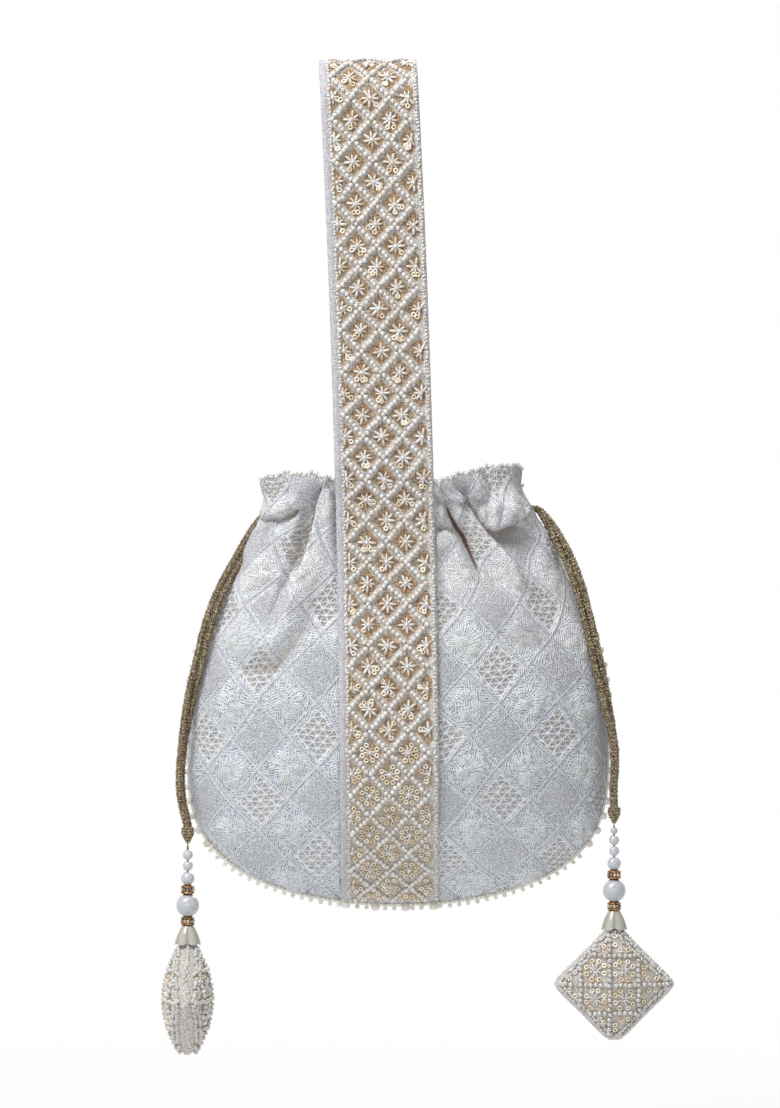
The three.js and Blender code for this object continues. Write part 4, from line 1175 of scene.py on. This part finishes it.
def strap_flowers(rng):
    """A flower of bugle petals in each diamond, with gold sequins round it, most of them at the ends."""
    petals, rings, hearts = plan_flowers(rng)
    origins, axes = on_strap(petals[:, 0], petals[:, 1], STRAP_THICKNESS + 0.55)
    axes = spun(axes, petals[:, 2]) * petals[:, 3][:, None, None]
    flowers = sew("strap_petals", petal(), origins, axes, rng, SILVER_BUGLE)
    origins, axes = on_strap(hearts[:, 0], hearts[:, 1], STRAP_THICKNESS + 1.1)
    middles = sew("strap_flower_hearts", round_bead(8, 5), origins, axes * HEART_RADIUS, rng, PEARL)
    origins, axes = on_strap(rings[:, 0], rings[:, 1], STRAP_THICKNESS + 0.6)
    tilt = rng.normal(0, 0.22, (len(rings), 2))
    axes[:, :, 2] += axes[:, :, 0] * tilt[:, :1] + axes[:, :, 1] * tilt[:, 1:]
    ring = ring_bead(10, 5, RING_TUBE)
    sequins = sew("strap_sequins", ring, origins, axes * RING_RADIUS, rng, SEQUIN_GOLD)
    return [flowers, middles, sequins]


def strap_edging(rng):
    """Slanted white stitches of seed beads along both borders."""
    rows = np.arange(0.8, STRAP_LENGTH - 0.6, EDGING_PITCH)
    count = len(rows)
    lots = [(column + rng.normal(0, 0.35, count), rows + rng.normal(0, 0.35, count),
             EDGING_SLANT + rng.normal(0, 0.5, count)) for column in EDGING_COLUMNS]
    across, place, slant = np.concatenate(lots, 1)
    origins, axes = on_strap(across, place, STRAP_THICKNESS + 0.35)
    axes = spun(axes, slant) * np.array(EDGING_SIZE) * rng.uniform(0.7, 1.1, len(slant))[:, None, None]
    return sew("strap_edging", round_bead(6, 3), origins, axes, rng, PETAL_WHITE, tint=0.8)


def plain_cloth_finish(name, light, dark):
    material, bench, shader = new_finish(name, Sheen_Weight=0.15, Specular_IOR_Level=0.3)
    threads = bench.group(THREAD_GRAIN, Vector=bench.out(bench.mark("weave"), "Vector"), Scale=2.0)
    shade = bench.out(threads, "Shade")
    coat(bench, shader, bench.mix(shade, dark, light), 0.85 - shade * 0.15)
    relief(bench, shader, bench.out(threads, "Height"), 0.6)
    return material


BACKING_WIDTH = 50
BACKING_DROP = 1.1  # under the strap's underside
BACKING_STEP = 2.0
BACKING_END_Z = -210


def line_strap():
    """Plain white cloth under the loop, its edge puckered where it turns over the top."""
    at = distances(STRAP_LINE)
    lined = at[STRAP_LINE[:, 2] > BACKING_END_Z]
    places = np.arange(lined[0], lined[-1], BACKING_STEP)
    across = np.linspace(-BACKING_WIDTH / 2, BACKING_WIDTH / 2, 15)
    place, across = np.meshgrid(places, across, indexing="ij")
    pucker = 0.25 * np.sin(place * 0.7) * np.sin(across * 0.5)
    points, _ = on_strap(across, place, -BACKING_DROP + pucker)
    finish = plain_cloth_finish("white_backing", dye(240, 240, 243), dye(216, 216, 224))
    backing = new_piece("strap_lining", points, grid_faces(*place.shape), finish, "bag",
                        ["strap_backing"], {"weave": listed(across, place, across * 0)})


def make_strap():
    rng = np.random.default_rng(11)
    tape = lay_tape()
    beadwork = [lattice_pearls(rng), *strap_flowers(rng), strap_edging(rng)]
    line_strap()


make_strap()

# Lining and the cords' hidden runs
LINING_COLUMNS = 96
LINING_ROWS = 60
LINING_FLOOR = 8
LINING_TOP = 217  # where it turns out to meet the edge of the mouth
LINING_GAP = 4  # behind the outer cloth, and how much further it is drawn in at the top
LINING_DRAW = 16
LINING_GATHERS = 24
GATHER_DEPTH = 1.2
FACING_ROWS = 7
FACING_SHARE = (0.982, 0.968, 1)  # of the mouth's edge, which it lies just inside
FACING_DROP = 1.2
CASING_RUN_INSET = 15.5


def mouth_edge(turns):
    """Points just inside the mouth's edge, at turns round the bag from the middle of its front."""
    own_turns = section_turn(np.linspace(-1, 1, len(front_edge)))[0]
    front = np.cos(turns) >= 0
    at = np.where(front, np.arcsin(np.sin(turns)), np.arcsin(np.sin(math.pi - turns)))
    sides = (np.stack([np.interp(at, own_turns, edge[:, k]) for k in range(3)], 1)
             for edge in (front_edge, back_edge))
    edge = np.where(front[:, None], *sides)
    return (edge - (BAG_X, 0, 0)) * FACING_SHARE + (BAG_X, 0, -FACING_DROP)


def make_lining():
    """The inner pouch, drawn in behind the folds and the drawcords, and turned out to the mouth's edge."""
    heights = np.concatenate([[LINING_FLOOR], np.linspace(LINING_FLOOR + 1, LINING_TOP, LINING_ROWS)])
    share, height = np.meshgrid(np.linspace(0.25, 1.25, LINING_COLUMNS + 1), heights)
    turn = share * 2 * math.pi
    inset = LINING_GAP + LINING_DRAW * ramp(height, 110, 190)
    gather = np.sin(turn * LINING_GATHERS) * GATHER_DEPTH * ramp(height, 140, 215)
    wide, deep = (np.maximum(outer(height) - inset, 1) + gather for outer in (half_width, half_depth))
    base = ramp(height, LINING_FLOOR, LINING_FLOOR + 14)
    x, y = BAG_X + wide * base * np.sin(turn), -deep * base * np.cos(turn)
    pouch = np.stack([x, y, BAG_BOTTOM_Z + height], -1)
    out = np.linspace(0, 1, FACING_ROWS + 1)[1:, None, None]
    points = np.concatenate([pouch, mixed(pouch[-1], mouth_edge(turn[0]), out)])
    level = points[:, :, 2] - BAG_BOTTOM_Z
    weave = listed(np.broadcast_to(turn[0] * 70, level.shape), level, level * 0)
    finish = plain_cloth_finish("beige_lining", dye(226, 212, 190), dye(196, 178, 152))
    lining = new_piece("inner_pouch", points.reshape(-1, 3), grid_faces(*level.shape), finish, "bag",
                       ["lining"], {"weave": weave})


def run_cords_round():
    """Each drawcord's hidden stretch, round the mouth inside the casing and out at its own side."""
    rng = np.random.default_rng(7)
    for side, way in SIDES:
        route = TAIL_ROUTES[side]
        x, z = route[0][0], route[0][2]
        far = WAIST_HALF_WIDTH - CASING_RUN_INSET
        deep = WAIST_HALF_DEPTH - CASING_RUN_INSET
        turns = np.linspace(math.pi / 7, 2 * math.pi - math.pi / 7, 24)
        loop = [(BAG_X + way * far * math.cos(t), -deep * math.sin(t), z) for t in turns]
        lead = CORD_PITCH / 2
        line = smooth_line([(x, -lead, z), (BAG_X + way * (far + 6), -lead - 0.4, z), *loop,
                            (BAG_X + way * (far + 6), lead + 0.4, z), (x, lead, z)])
        points, faces, marks, _ = knitted_cord(line, rng, 1.2, 12)
        new_piece(f"{side}_zari_casing_run", points, faces, ZARI, "bag",
                  [f"{side}_drawcord_casing_run"], {"knit": marks})


make_lining()
run_cords_round()

# Pearls along the seam and the ruffle
SEAM_TOP = 193
SEAM_OFFSET = 2.0
SEAM_PEARL_RADIUS = 2.1
SEAM_PEARL_PITCH = 8
SEAM_THREAD_RADIUS = 0.9
PICOT_TOP = 30
PICOT_PITCH = 4.9
PICOT_BEADS = ((0.8, -1.3, 1.1), (0.8, 1.3, 1.1), (1.5, 0.0, 1.2), (2.9, 0.0, 1.15))  # out, along, radius
HEM_PEARL_RADIUS = 1.15
HEM_PEARL_PITCH = 3.2
HEM_PEARL_LIFT = 0.9
STRAP_FOOT_PEARLS = (-12, 4, 20, 35)
STRAP_FOOT_PEARL_RADIUS = 2.5


def seam_line():
    """The outline of the bag below its casing, from the left round the bottom to the right."""
    turn = np.linspace(-math.pi / 2, math.pi / 2, 600)
    heights = SEAM_TOP * (1 - np.cos(turn))
    x = middle_x(heights) + np.sign(turn) * half_width(heights)
    return np.stack([x, x * 0, BAG_BOTTOM_Z + heights], 1)


def trim_seam():
    """Pearls and a thread along the seam, and pearls on both edges of the ruffle."""
    rng = np.random.default_rng(23)
    line = seam_line()
    length = distances(line)[-1]
    fine = np.arange(0, length, 0.25)
    spot, _ = points_at(line, fine)
    bottom = fine[spot[:, 2] < BAG_BOTTOM_Z + PICOT_TOP]
    low, high = bottom[0], bottom[-1]

    def beside(places, offset, sideways=0.0):
        point, ahead = points_at(line, places)
        outward = np.stack([ahead[:, 2], ahead[:, 1], -ahead[:, 0]], 1)
        return point + outward * offset + ahead * sideways

    sides = np.concatenate([np.arange(low - 4, 0, -SEAM_PEARL_PITCH),
                            np.arange(high + 4, length, SEAM_PEARL_PITCH)])
    shapes = [(beside(sides, SEAM_OFFSET), SEAM_PEARL_RADIUS * rng.uniform(0.93, 1.07, len(sides)))]
    picots = np.arange(low, high, PICOT_PITCH)
    for offset, sideways, radius in PICOT_BEADS:
        shapes.append((beside(picots + rng.normal(0, 0.15, len(picots)), offset, sideways),
                       radius * rng.uniform(0.9, 1.1, len(picots))))
    foot = np.array([fine[np.abs(spot[:, 0] - x).argmin()] for x in STRAP_FOOT_PEARLS])
    shapes.append((beside(foot, SEAM_OFFSET), np.full(len(foot), STRAP_FOOT_PEARL_RADIUS)))
    origins, sizes = (np.concatenate(values) for values in zip(*shapes))
    bead = round_bead(10, 7)
    sew("seam_edging_pearls", bead, origins, upright(len(origins), sizes), rng, SEAM_CREAM,
        replaced=["seam_pearls"])
    thread = beside(np.arange(0, length, 2.0), SEAM_THREAD_RADIUS)
    points, faces = tube(thread, unit(np.gradient(thread, axis=0)), SEAM_THREAD_RADIUS, 6)
    new_piece("seam_thread", points, faces, SEAM_CREAM, "bag",
              marks={"tone": np.full(len(points), 0.7)})
    for name, edge in (("front_ruffle_pearls", front_edge), ("back_ruffle_pearls", back_edge)):
        places = np.arange(3, distances(edge)[-1] - 2, HEM_PEARL_PITCH)
        origins, _ = points_at(edge, places)
        axes = upright(len(places), HEM_PEARL_RADIUS * rng.uniform(0.9, 1.1, len(places)))
        sew(name, bead, origins + (0, 0, HEM_PEARL_LIFT), axes, rng, PEARL, tint=0.6)


trim_seam()

# Bead strings
CAP_FLUTES = 6
CAP_ROWS = 26
CAP_COLUMNS = 120
CAP_THICKNESS = 0.7
CAP_PROFILE = ((0, 0.46), (0.12, 0.58), (0.4, 0.8), (0.75, 0.97), (1, 1.03))  # way down, share of its radius
PEARL_SWELL = 1.03  # the pearls bear on their neighbours
CRYSTALS = 11
CHARM_HALF_DIAGONAL = 33
CHARM_THICKNESS = 24
CHARM_RIM = 2.4
CHARM_PULL_IN = 0.035
CHARM_GRID_X = (-17.8, -2.8, 12.2, 27.2)
CHARM_GRID_Z = (15.4, 0.4, -14.6)
CHARM_CELL = 15
CHARM_BLUNT = 0.14  # how far its lower corner is rounded off; half as far at the sides
CHARM_SEED_ROWS = (0.86, 0.94)  # shares of the way from the middle to an edge
CHARM_SEED_PITCH = 0.064
CHARM_GRAIN = 48  # faces along an edge of its cloth
CHARM_PEARL_PITCH = 2.55
CHARM_FLOWER = (-25.3, -22.1)  # the first flower's middle
CHARM_END = 36
CHARM_RING_PLACE = 4.6
CHARM_LIMITS = {"pearls": 0.93, "petals": 0.8, "rings": 0.9, "seeds": 0.84}  # how near the edge or corner


def string_pearls(side):
    kinds = ["pearl_small_upper", "pearl_small_lower", "pearl_medium", "pearl_large"]
    if side == "right":
        kinds.append("pearl_tiny")
    bead, faces = round_bead(32, 20)
    for tone, kind in enumerate(kinds):
        place, size = middle_of(f"{side}_{kind}")
        points = bead * (max(size) / 2 * PEARL_SWELL) + place
        new_piece(f"{side}_smooth_{kind}", points, faces, SATIN_PEARL, f"{side}_bead_string",
                  [f"{side}_{kind}"], {"tone": np.full(len(points), 0.1 + 0.15 * tone)})


def crystal_finish():
    material, bench, shader = new_finish("amber_crystal", Specular_IOR_Level=0.9, Coat_Weight=0.6)
    tone = bench.out(bench.mark("tone"), "Fac")
    cloud = bench.speckle(bench.place(), 1400.0)
    amber = bench.mix(ramp(tone, 0.3, 0.6), dye(70, 40, 22), dye(196, 168, 128))
    glints = bench.mix(ramp(cloud, 0.5, 0.7) * 0.6, amber, dye(236, 224, 204))
    coat(bench, shader, glints, cloud * 0.2 + 0.05)
    return material


def set_rondelles(side, crystal, rng):
    """Two gold rims with crystals set between them."""
    body = f"{side}_bead_string"
    for level in ("upper", "lower"):
        place, size = middle_of(f"{side}_rondelle_{level}")
        radius, half = size[0] / 2, size[2] / 2
        low = [(0.9, -half - 0.5), (2.5, -half - 0.5), (2.7, -half), (radius * 0.92, -half),
               (radius, -half + 0.35), (radius * 0.96, -half + 0.95), (radius * 0.74, -half + 1.15)]
        points, faces = turned(low + [(r, -z) for r, z in low[::-1]], 40)
        new_piece(f"{side}_mount_{level}", points + place, faces, MOUNT_GOLD, body,
                  [f"{side}_rondelle_{level}"], {"tone": np.full(len(points), 0.5)})
        turns = turns_round(CRYSTALS) + rng.random()
        out = np.stack([np.cos(turns), np.sin(turns), turns * 0], 1)
        across = np.stack([-np.sin(turns), np.cos(turns), turns * 0], 1)
        axes = np.stack([across, out * 0.8, np.repeat([[0, 0, 1.15]], CRYSTALS, 0)], 2)
        stone = turned([(0, -1), (0.8, -0.6), (1, 0), (0.8, 0.6), (0, 1)], 6)
        sew(f"{side}_crystals_{level}", stone, out * radius * 0.84 + place, axes, rng, crystal, body)


def cap_finish():
    """A pearly petal cap with a green and peach cast, and painted shade between its petals and on its inside.
    """
    material, bench, shader = new_finish("pearly_petal", Coat_Weight=0.5, Coat_Roughness=0.1)
    tone = bench.out(bench.mark("tone"), "Fac")
    cloud = ramp(bench.speckle(bench.place(), 160.0), 0.4, 0.6)
    cast = bench.mix(cloud, dye(184, 188, 177), dye(196, 190, 178))
    # painted shade: a low tone darkens the cap between its petals and on its inside
    coat(bench, shader, bench.mix(tone, dye(128, 118, 101), cast), 0.34 - tone * 0.12)
    return material


def petal_cap(side, finish):
    """A cap of petals that flare over the charm's top corner, each with a rounded tip."""
    place, size = middle_of(f"{side}_petal_cap")
    wide, height = size[0] / 2, size[2]
    share, turn = np.meshgrid(np.linspace(0, 1, CAP_ROWS), turns_round(CAP_COLUMNS), indexing="ij")
    lobe = np.abs(np.cos(turn * CAP_FLUTES / 2))
    flare = np.interp(share, *zip(*CAP_PROFILE)) * wide * (1 + (lobe - 0.6) * 0.16 * share)
    level = height / 2 - height * (share * (1 + (lobe - 0.7) * 0.12 * share))
    outer, inner = (np.stack([radius * np.cos(turn), radius * np.sin(turn), level], -1) + place
                    for radius in (flare, flare - CAP_THICKNESS))
    points = np.concatenate([outer, inner[::-1]]).reshape(-1, 3)
    # tones for the painted shade: low in the dips between the petals and all over the inside
    tones = np.concatenate([(0.25 + 0.75 * lobe ** 0.6).ravel(), np.full(lobe.size, 0.2)])
    faces = [face[::-1] for face in grid_faces(CAP_ROWS * 2, CAP_COLUMNS, ring=True)]
    new_piece(f"{side}_petals", points, faces, finish, f"{side}_charm_pad", [f"{side}_petal_cap"],
              {"tone": tones})


def charm_depth(x, z):
    """Half the charm's thickness at a place on its face, and how near the place is to its edge, at 1."""
    rising, falling = (z + x) / CHARM_HALF_DIAGONAL, (z - x) / CHARM_HALF_DIAGONAL
    b = falling
    for _ in range(3):
        a = rising / (1 - CHARM_PULL_IN * (1 - np.clip(b, -1, 1) ** 2))
        b = falling / (1 - CHARM_PULL_IN * (1 - np.clip(a, -1, 1) ** 2))
    full = np.sqrt(np.clip(1 - a ** 2, 0, 1) * np.clip(1 - b ** 2, 0, 1))
    return mixed(CHARM_RIM, CHARM_THICKNESS, full) / 2, np.maximum(np.abs(a), np.abs(b))


def on_charm(x, z, face, lift):
    """Points on a charm's front (-1) or back (1), with axes across, up and out."""
    depth, _ = charm_depth(x, z)
    step = 0.3
    slope_x = (charm_depth(x + step, z)[0] - charm_depth(x - step, z)[0]) / (2 * step)
    slope_z = (charm_depth(x, z + step)[0] - charm_depth(x, z - step)[0]) / (2 * step)
    out = unit(np.stack([-slope_x, np.full(len(x), float(face)), -slope_z], 1))
    across = unit(np.cross(np.repeat([[0.0, 0, 1]], len(x), 0), out) * -face)
    points = np.stack([x, face * depth, z], 1) + out * lift
    return points, np.stack([across, np.cross(out, across), out], 2)


def drawn_in(a, b):
    """A place on a charm's face from its shares of the way to two edges, drawn in between corners."""
    pull_a, pull_b = a * (1 - CHARM_PULL_IN * (1 - b ** 2)), b * (1 - CHARM_PULL_IN * (1 - a ** 2))
    x, z = CHARM_HALF_DIAGONAL * (pull_a - pull_b) / 2, CHARM_HALF_DIAGONAL * (pull_a + pull_b) / 2
    bluntness = mixed(CHARM_BLUNT, CHARM_BLUNT / 2, ramp(z, -18, -6)) * (1 - ramp(z, 15, 30))
    blunt = 1 - bluntness * np.abs(a * b) ** 5
    return x * blunt, z * blunt


def charm_cloth():
    """The charm's stuffed body: two crowned faces that meet at a narrow rim."""
    count = CHARM_GRAIN
    line = np.sin(np.linspace(-math.pi / 2, math.pi / 2, count + 1))
    a, b = np.meshgrid(line, line, indexing="ij")
    x, z = drawn_in(a, b)
    depth = mixed(CHARM_RIM, CHARM_THICKNESS, np.sqrt((1 - a ** 2) * (1 - b ** 2))) / 2
    points = np.vstack([listed(x, -depth, z), listed(x, depth, z)])
    size = x.size
    faces = grid_faces(count + 1, count + 1)
    faces = [face[::-1] for face in faces] + [[i + size for i in face] for face in faces]
    side, last = np.arange(count), count * (count + 1)
    rim = [*side, *(side * (count + 1) + count), *(last + count - side), *(last - side * (count + 1))]
    for one, two in zip(rim, rim[1:] + rim[:1]):
        faces.append([one, two, two + size, one + size])
    return points, faces


def charm_beads(rng):
    """What is sewn on a charm: lines of pearls, ringed flowers between them, and seeds along the edges."""
    sewn = {"pearls": [], "petals": [], "rings": [], "seeds": []}
    run = np.arange(-CHARM_HALF_DIAGONAL, CHARM_HALF_DIAGONAL, CHARM_PEARL_PITCH)
    for face in (-1, 1):
        spots = [(x, z) for x in CHARM_GRID_X for z in run]
        spots += [(x, z) for z in CHARM_GRID_Z for x in run if min(abs(x - g) for g in CHARM_GRID_X) > 1.4]
        spots = np.array(spots) + rng.normal(0, 0.2, (len(spots), 2))
        spots = spots[charm_depth(*spots.T)[1] < CHARM_LIMITS["pearls"]]
        sewn["pearls"].append(on_charm(*spots.T, face, 1.0))
        flowers = {"petals": [], "rings": []}
        for x in np.arange(CHARM_FLOWER[0], CHARM_END, CHARM_CELL):
            for z in np.arange(CHARM_FLOWER[1], CHARM_END, CHARM_CELL):
                for n in range(PETALS):
                    turn = n * math.pi / 4 + math.pi / 8 + rng.normal(0, 0.08)
                    c, s = math.cos(turn), math.sin(turn)
                    square = CHARM_RING_PLACE / max(abs(c), abs(s), 0.85)
                    flowers["petals"].append((x, z, turn))
                    flowers["rings"].append((x + square * c, z + square * s, turn))
        for name, spots in flowers.items():
            x, z, turn = np.array(spots).T
            kept = charm_depth(x, z)[1] < CHARM_LIMITS[name]
            points, axes = on_charm(x[kept], z[kept], face, 0.55)
            if name == "petals":
                axes = spun(axes, turn[kept]) * 0.9
            sewn[name].append((points, axes))
    rows = []
    for level in CHARM_SEED_ROWS:
        for along in np.arange(-level, level, CHARM_SEED_PITCH):
            for edge in (-level, level):
                rows += [(along, edge), (edge, along)]
    rows = np.array(rows) + rng.normal(0, 0.012, (len(rows), 2))
    rows = rows[np.abs(rows[:, 0] * rows[:, 1]) < CHARM_LIMITS["seeds"]]
    for face in (-1, 1):
        points, axes = on_charm(*drawn_in(*rows.T), face, 0.5)
        sewn["seeds"].append((points, axes * 1.15))
    rim = np.linspace(-1, 1, 28)
    low, high = rim * 0 - 1, rim * 0 + 1
    x, z = drawn_in(np.concatenate([rim, rim, low, high]), np.concatenate([low, high, rim, rim]))
    points = np.stack([x, rng.normal(0, 0.6, len(x)), z], 1)
    sewn["seeds"].append((points, upright(len(points), 1.3)))
    return {name: [np.concatenate(values) for values in zip(*lots)] for name, lots in sewn.items()}


def charm_finish():
    material, bench, shader = new_finish("charm_cloth", Sheen_Weight=0.15, Specular_IOR_Level=0.3)
    place = bench.place()
    net = bench.group(THREAD_GRAIN, Vector=place, Scale=1400.0)
    shade = bench.out(net, "Shade")
    patch = ramp(bench.speckle(place, 260.0), 0.4, 0.62)
    pale = bench.mix(shade, dye(186, 183, 178), dye(226, 224, 220))
    coat(bench, shader, bench.mix(patch * 0.4, pale, dye(198, 178, 156)), 0.8 - shade * 0.2)
    relief(bench, shader, bench.out(net, "Height"), 0.8)
    return material


def hang_charm(side, finish, rng):
    """A stuffed charm with its beads, edge-on or face-on as its solid is."""
    middle, size = middle_of(f"{side}_charm")
    place = middle + (0, 0, size[2] / 2 - CHARM_HALF_DIAGONAL)
    turn = np.array([[0.0, -1, 0], [1, 0, 0], [0, 0, 1]]) if size[0] < size[1] else np.eye(3)
    body = f"{side}_charm_pad"
    points, faces = charm_cloth()
    pad = new_piece(f"{side}_stuffed_charm", points @ turn.T + place, faces, finish, body,
                    [f"{side}_charm"])
    sewn = charm_beads(rng)
    for name, shape, scale, look, slot in (
            ("pearls", round_bead(9, 6), 1.3, CHARM_CREAM, "pearl"),
            ("petals", petal(), 1.0, CHARM_CREAM, "beadwork"),
            ("rings", ring_bead(9, 5, RING_TUBE), RING_RADIUS, SEQUIN_GOLD, "gold"),
            ("seeds", round_bead(6, 4), 1.0, CHARM_CREAM, "beadwork")):
        origins, axes = sewn[name]
        origins, axes = origins @ turn.T + place, turn @ axes * scale
        sew(f"{side}_charm_{name}", shape, origins, axes, rng, look, body)


def hang_bead_strings():
    rng = np.random.default_rng(37)
    crystal, cap, cloth = crystal_finish(), cap_finish(), charm_finish()
    for side, _ in SIDES:
        string_pearls(side)
        set_rondelles(side, crystal, rng)
        petal_cap(side, cap)
        hang_charm(side, cloth, rng)
        thread = bpy.data.objects[f"{side}_thread"]
        thread.data.materials.clear()
        thread.data.materials.append(MOUNT_GOLD)


hang_bead_strings()


# Lamps, backdrop and floor
FLOOR_Z = -600
WORLD_LIGHT = 0.25
FLOOR_HALF_SIZE = 4000
FLOOR_WHITE = 0.82  # how white it is seen near the bag
LAMPS = (
    ("key", (-850, -950, 1150), 800, 24.6),
    ("top", (-150, -350, 900), 700, 4.5),
    ("fill", (-150, -1550, -500), 1100, 5.0),
    ("rim", (300, 1500, 700), 900, 13.0),
)


def hang_lamp(name, place, size, watts):
    lamp = bpy.data.lights.new(name, "AREA")
    lamp.size = size * MM
    lamp.energy = watts
    holder = bpy.data.objects.new(name, lamp)
    holder.location = Vector(place) * MM
    aim = Vector(PICTURE_CENTRE) * MM - holder.location
    holder.rotation_euler = aim.to_track_quat("-Z", "Y").to_euler()
    scene.collection.objects.link(holder)


def seen_directly(bench):
    """1 for rays from the camera, and for those that come off metal or through glass."""
    path = bench.put("LightPath")
    mirrored = highest(bench.out(path, "Is Glossy Ray"), bench.out(path, "Is Transmission Ray"))
    return highest(bench.out(path, "Is Camera Ray"), mirrored)


def light_world():
    world = bpy.data.worlds.new("studio")
    world.use_nodes = True
    scene.world = world
    bench = Bench(world.node_tree)
    background = world.node_tree.nodes["Background"]
    background.inputs["Color"].default_value = (1, 1, 1, 1)
    bench.join(seen_directly(bench) * (1 - WORLD_LIGHT) + WORLD_LIGHT, background.inputs["Strength"])


def lay_floor():
    """A pale floor that takes the shadow and runs out into the white behind."""
    mesh = bpy.data.meshes.new("studio_floor")
    half = FLOOR_HALF_SIZE
    corners = [(-half, -half), (half, -half), (half, half), (-half, half)]
    mesh.from_pydata([(x * MM, y * MM, FLOOR_Z * MM) for x, y in corners], [], [(0, 1, 2, 3)])
    material, bench, shader = new_finish("pale_floor", Roughness=0.9, Specular_IOR_Level=0.1)
    shader.inputs["Base Color"].default_value = dye(240, 240, 240)
    spot = bench.put("SeparateXYZ", {"Vector": bench.place()})
    far = span(bench.out(spot, "X"), bench.out(spot, "Y"))
    white = bench.put("Emission", {"Color": (1, 1, 1, 1), "Strength": 1.0})
    share = (ramp(far, 0.25, 1.0) * (1 - FLOOR_WHITE) + FLOOR_WHITE) * seen_directly(bench)
    both = bench.put("MixShader")
    for index, value in ((0, share), (1, bench.out(shader)), (2, bench.out(white))):
        bench.join(value, both.inputs[index])
    drain = material.node_tree.nodes["Material Output"]
    bench.join(bench.out(both), drain.inputs["Surface"])
    mesh.materials.append(material)
    floor = bpy.data.objects.new("studio_floor", mesh)
    scene.collection.objects.link(floor)


for lamp_facts in LAMPS:
    hang_lamp(*lamp_facts)
light_world()
lay_floor()
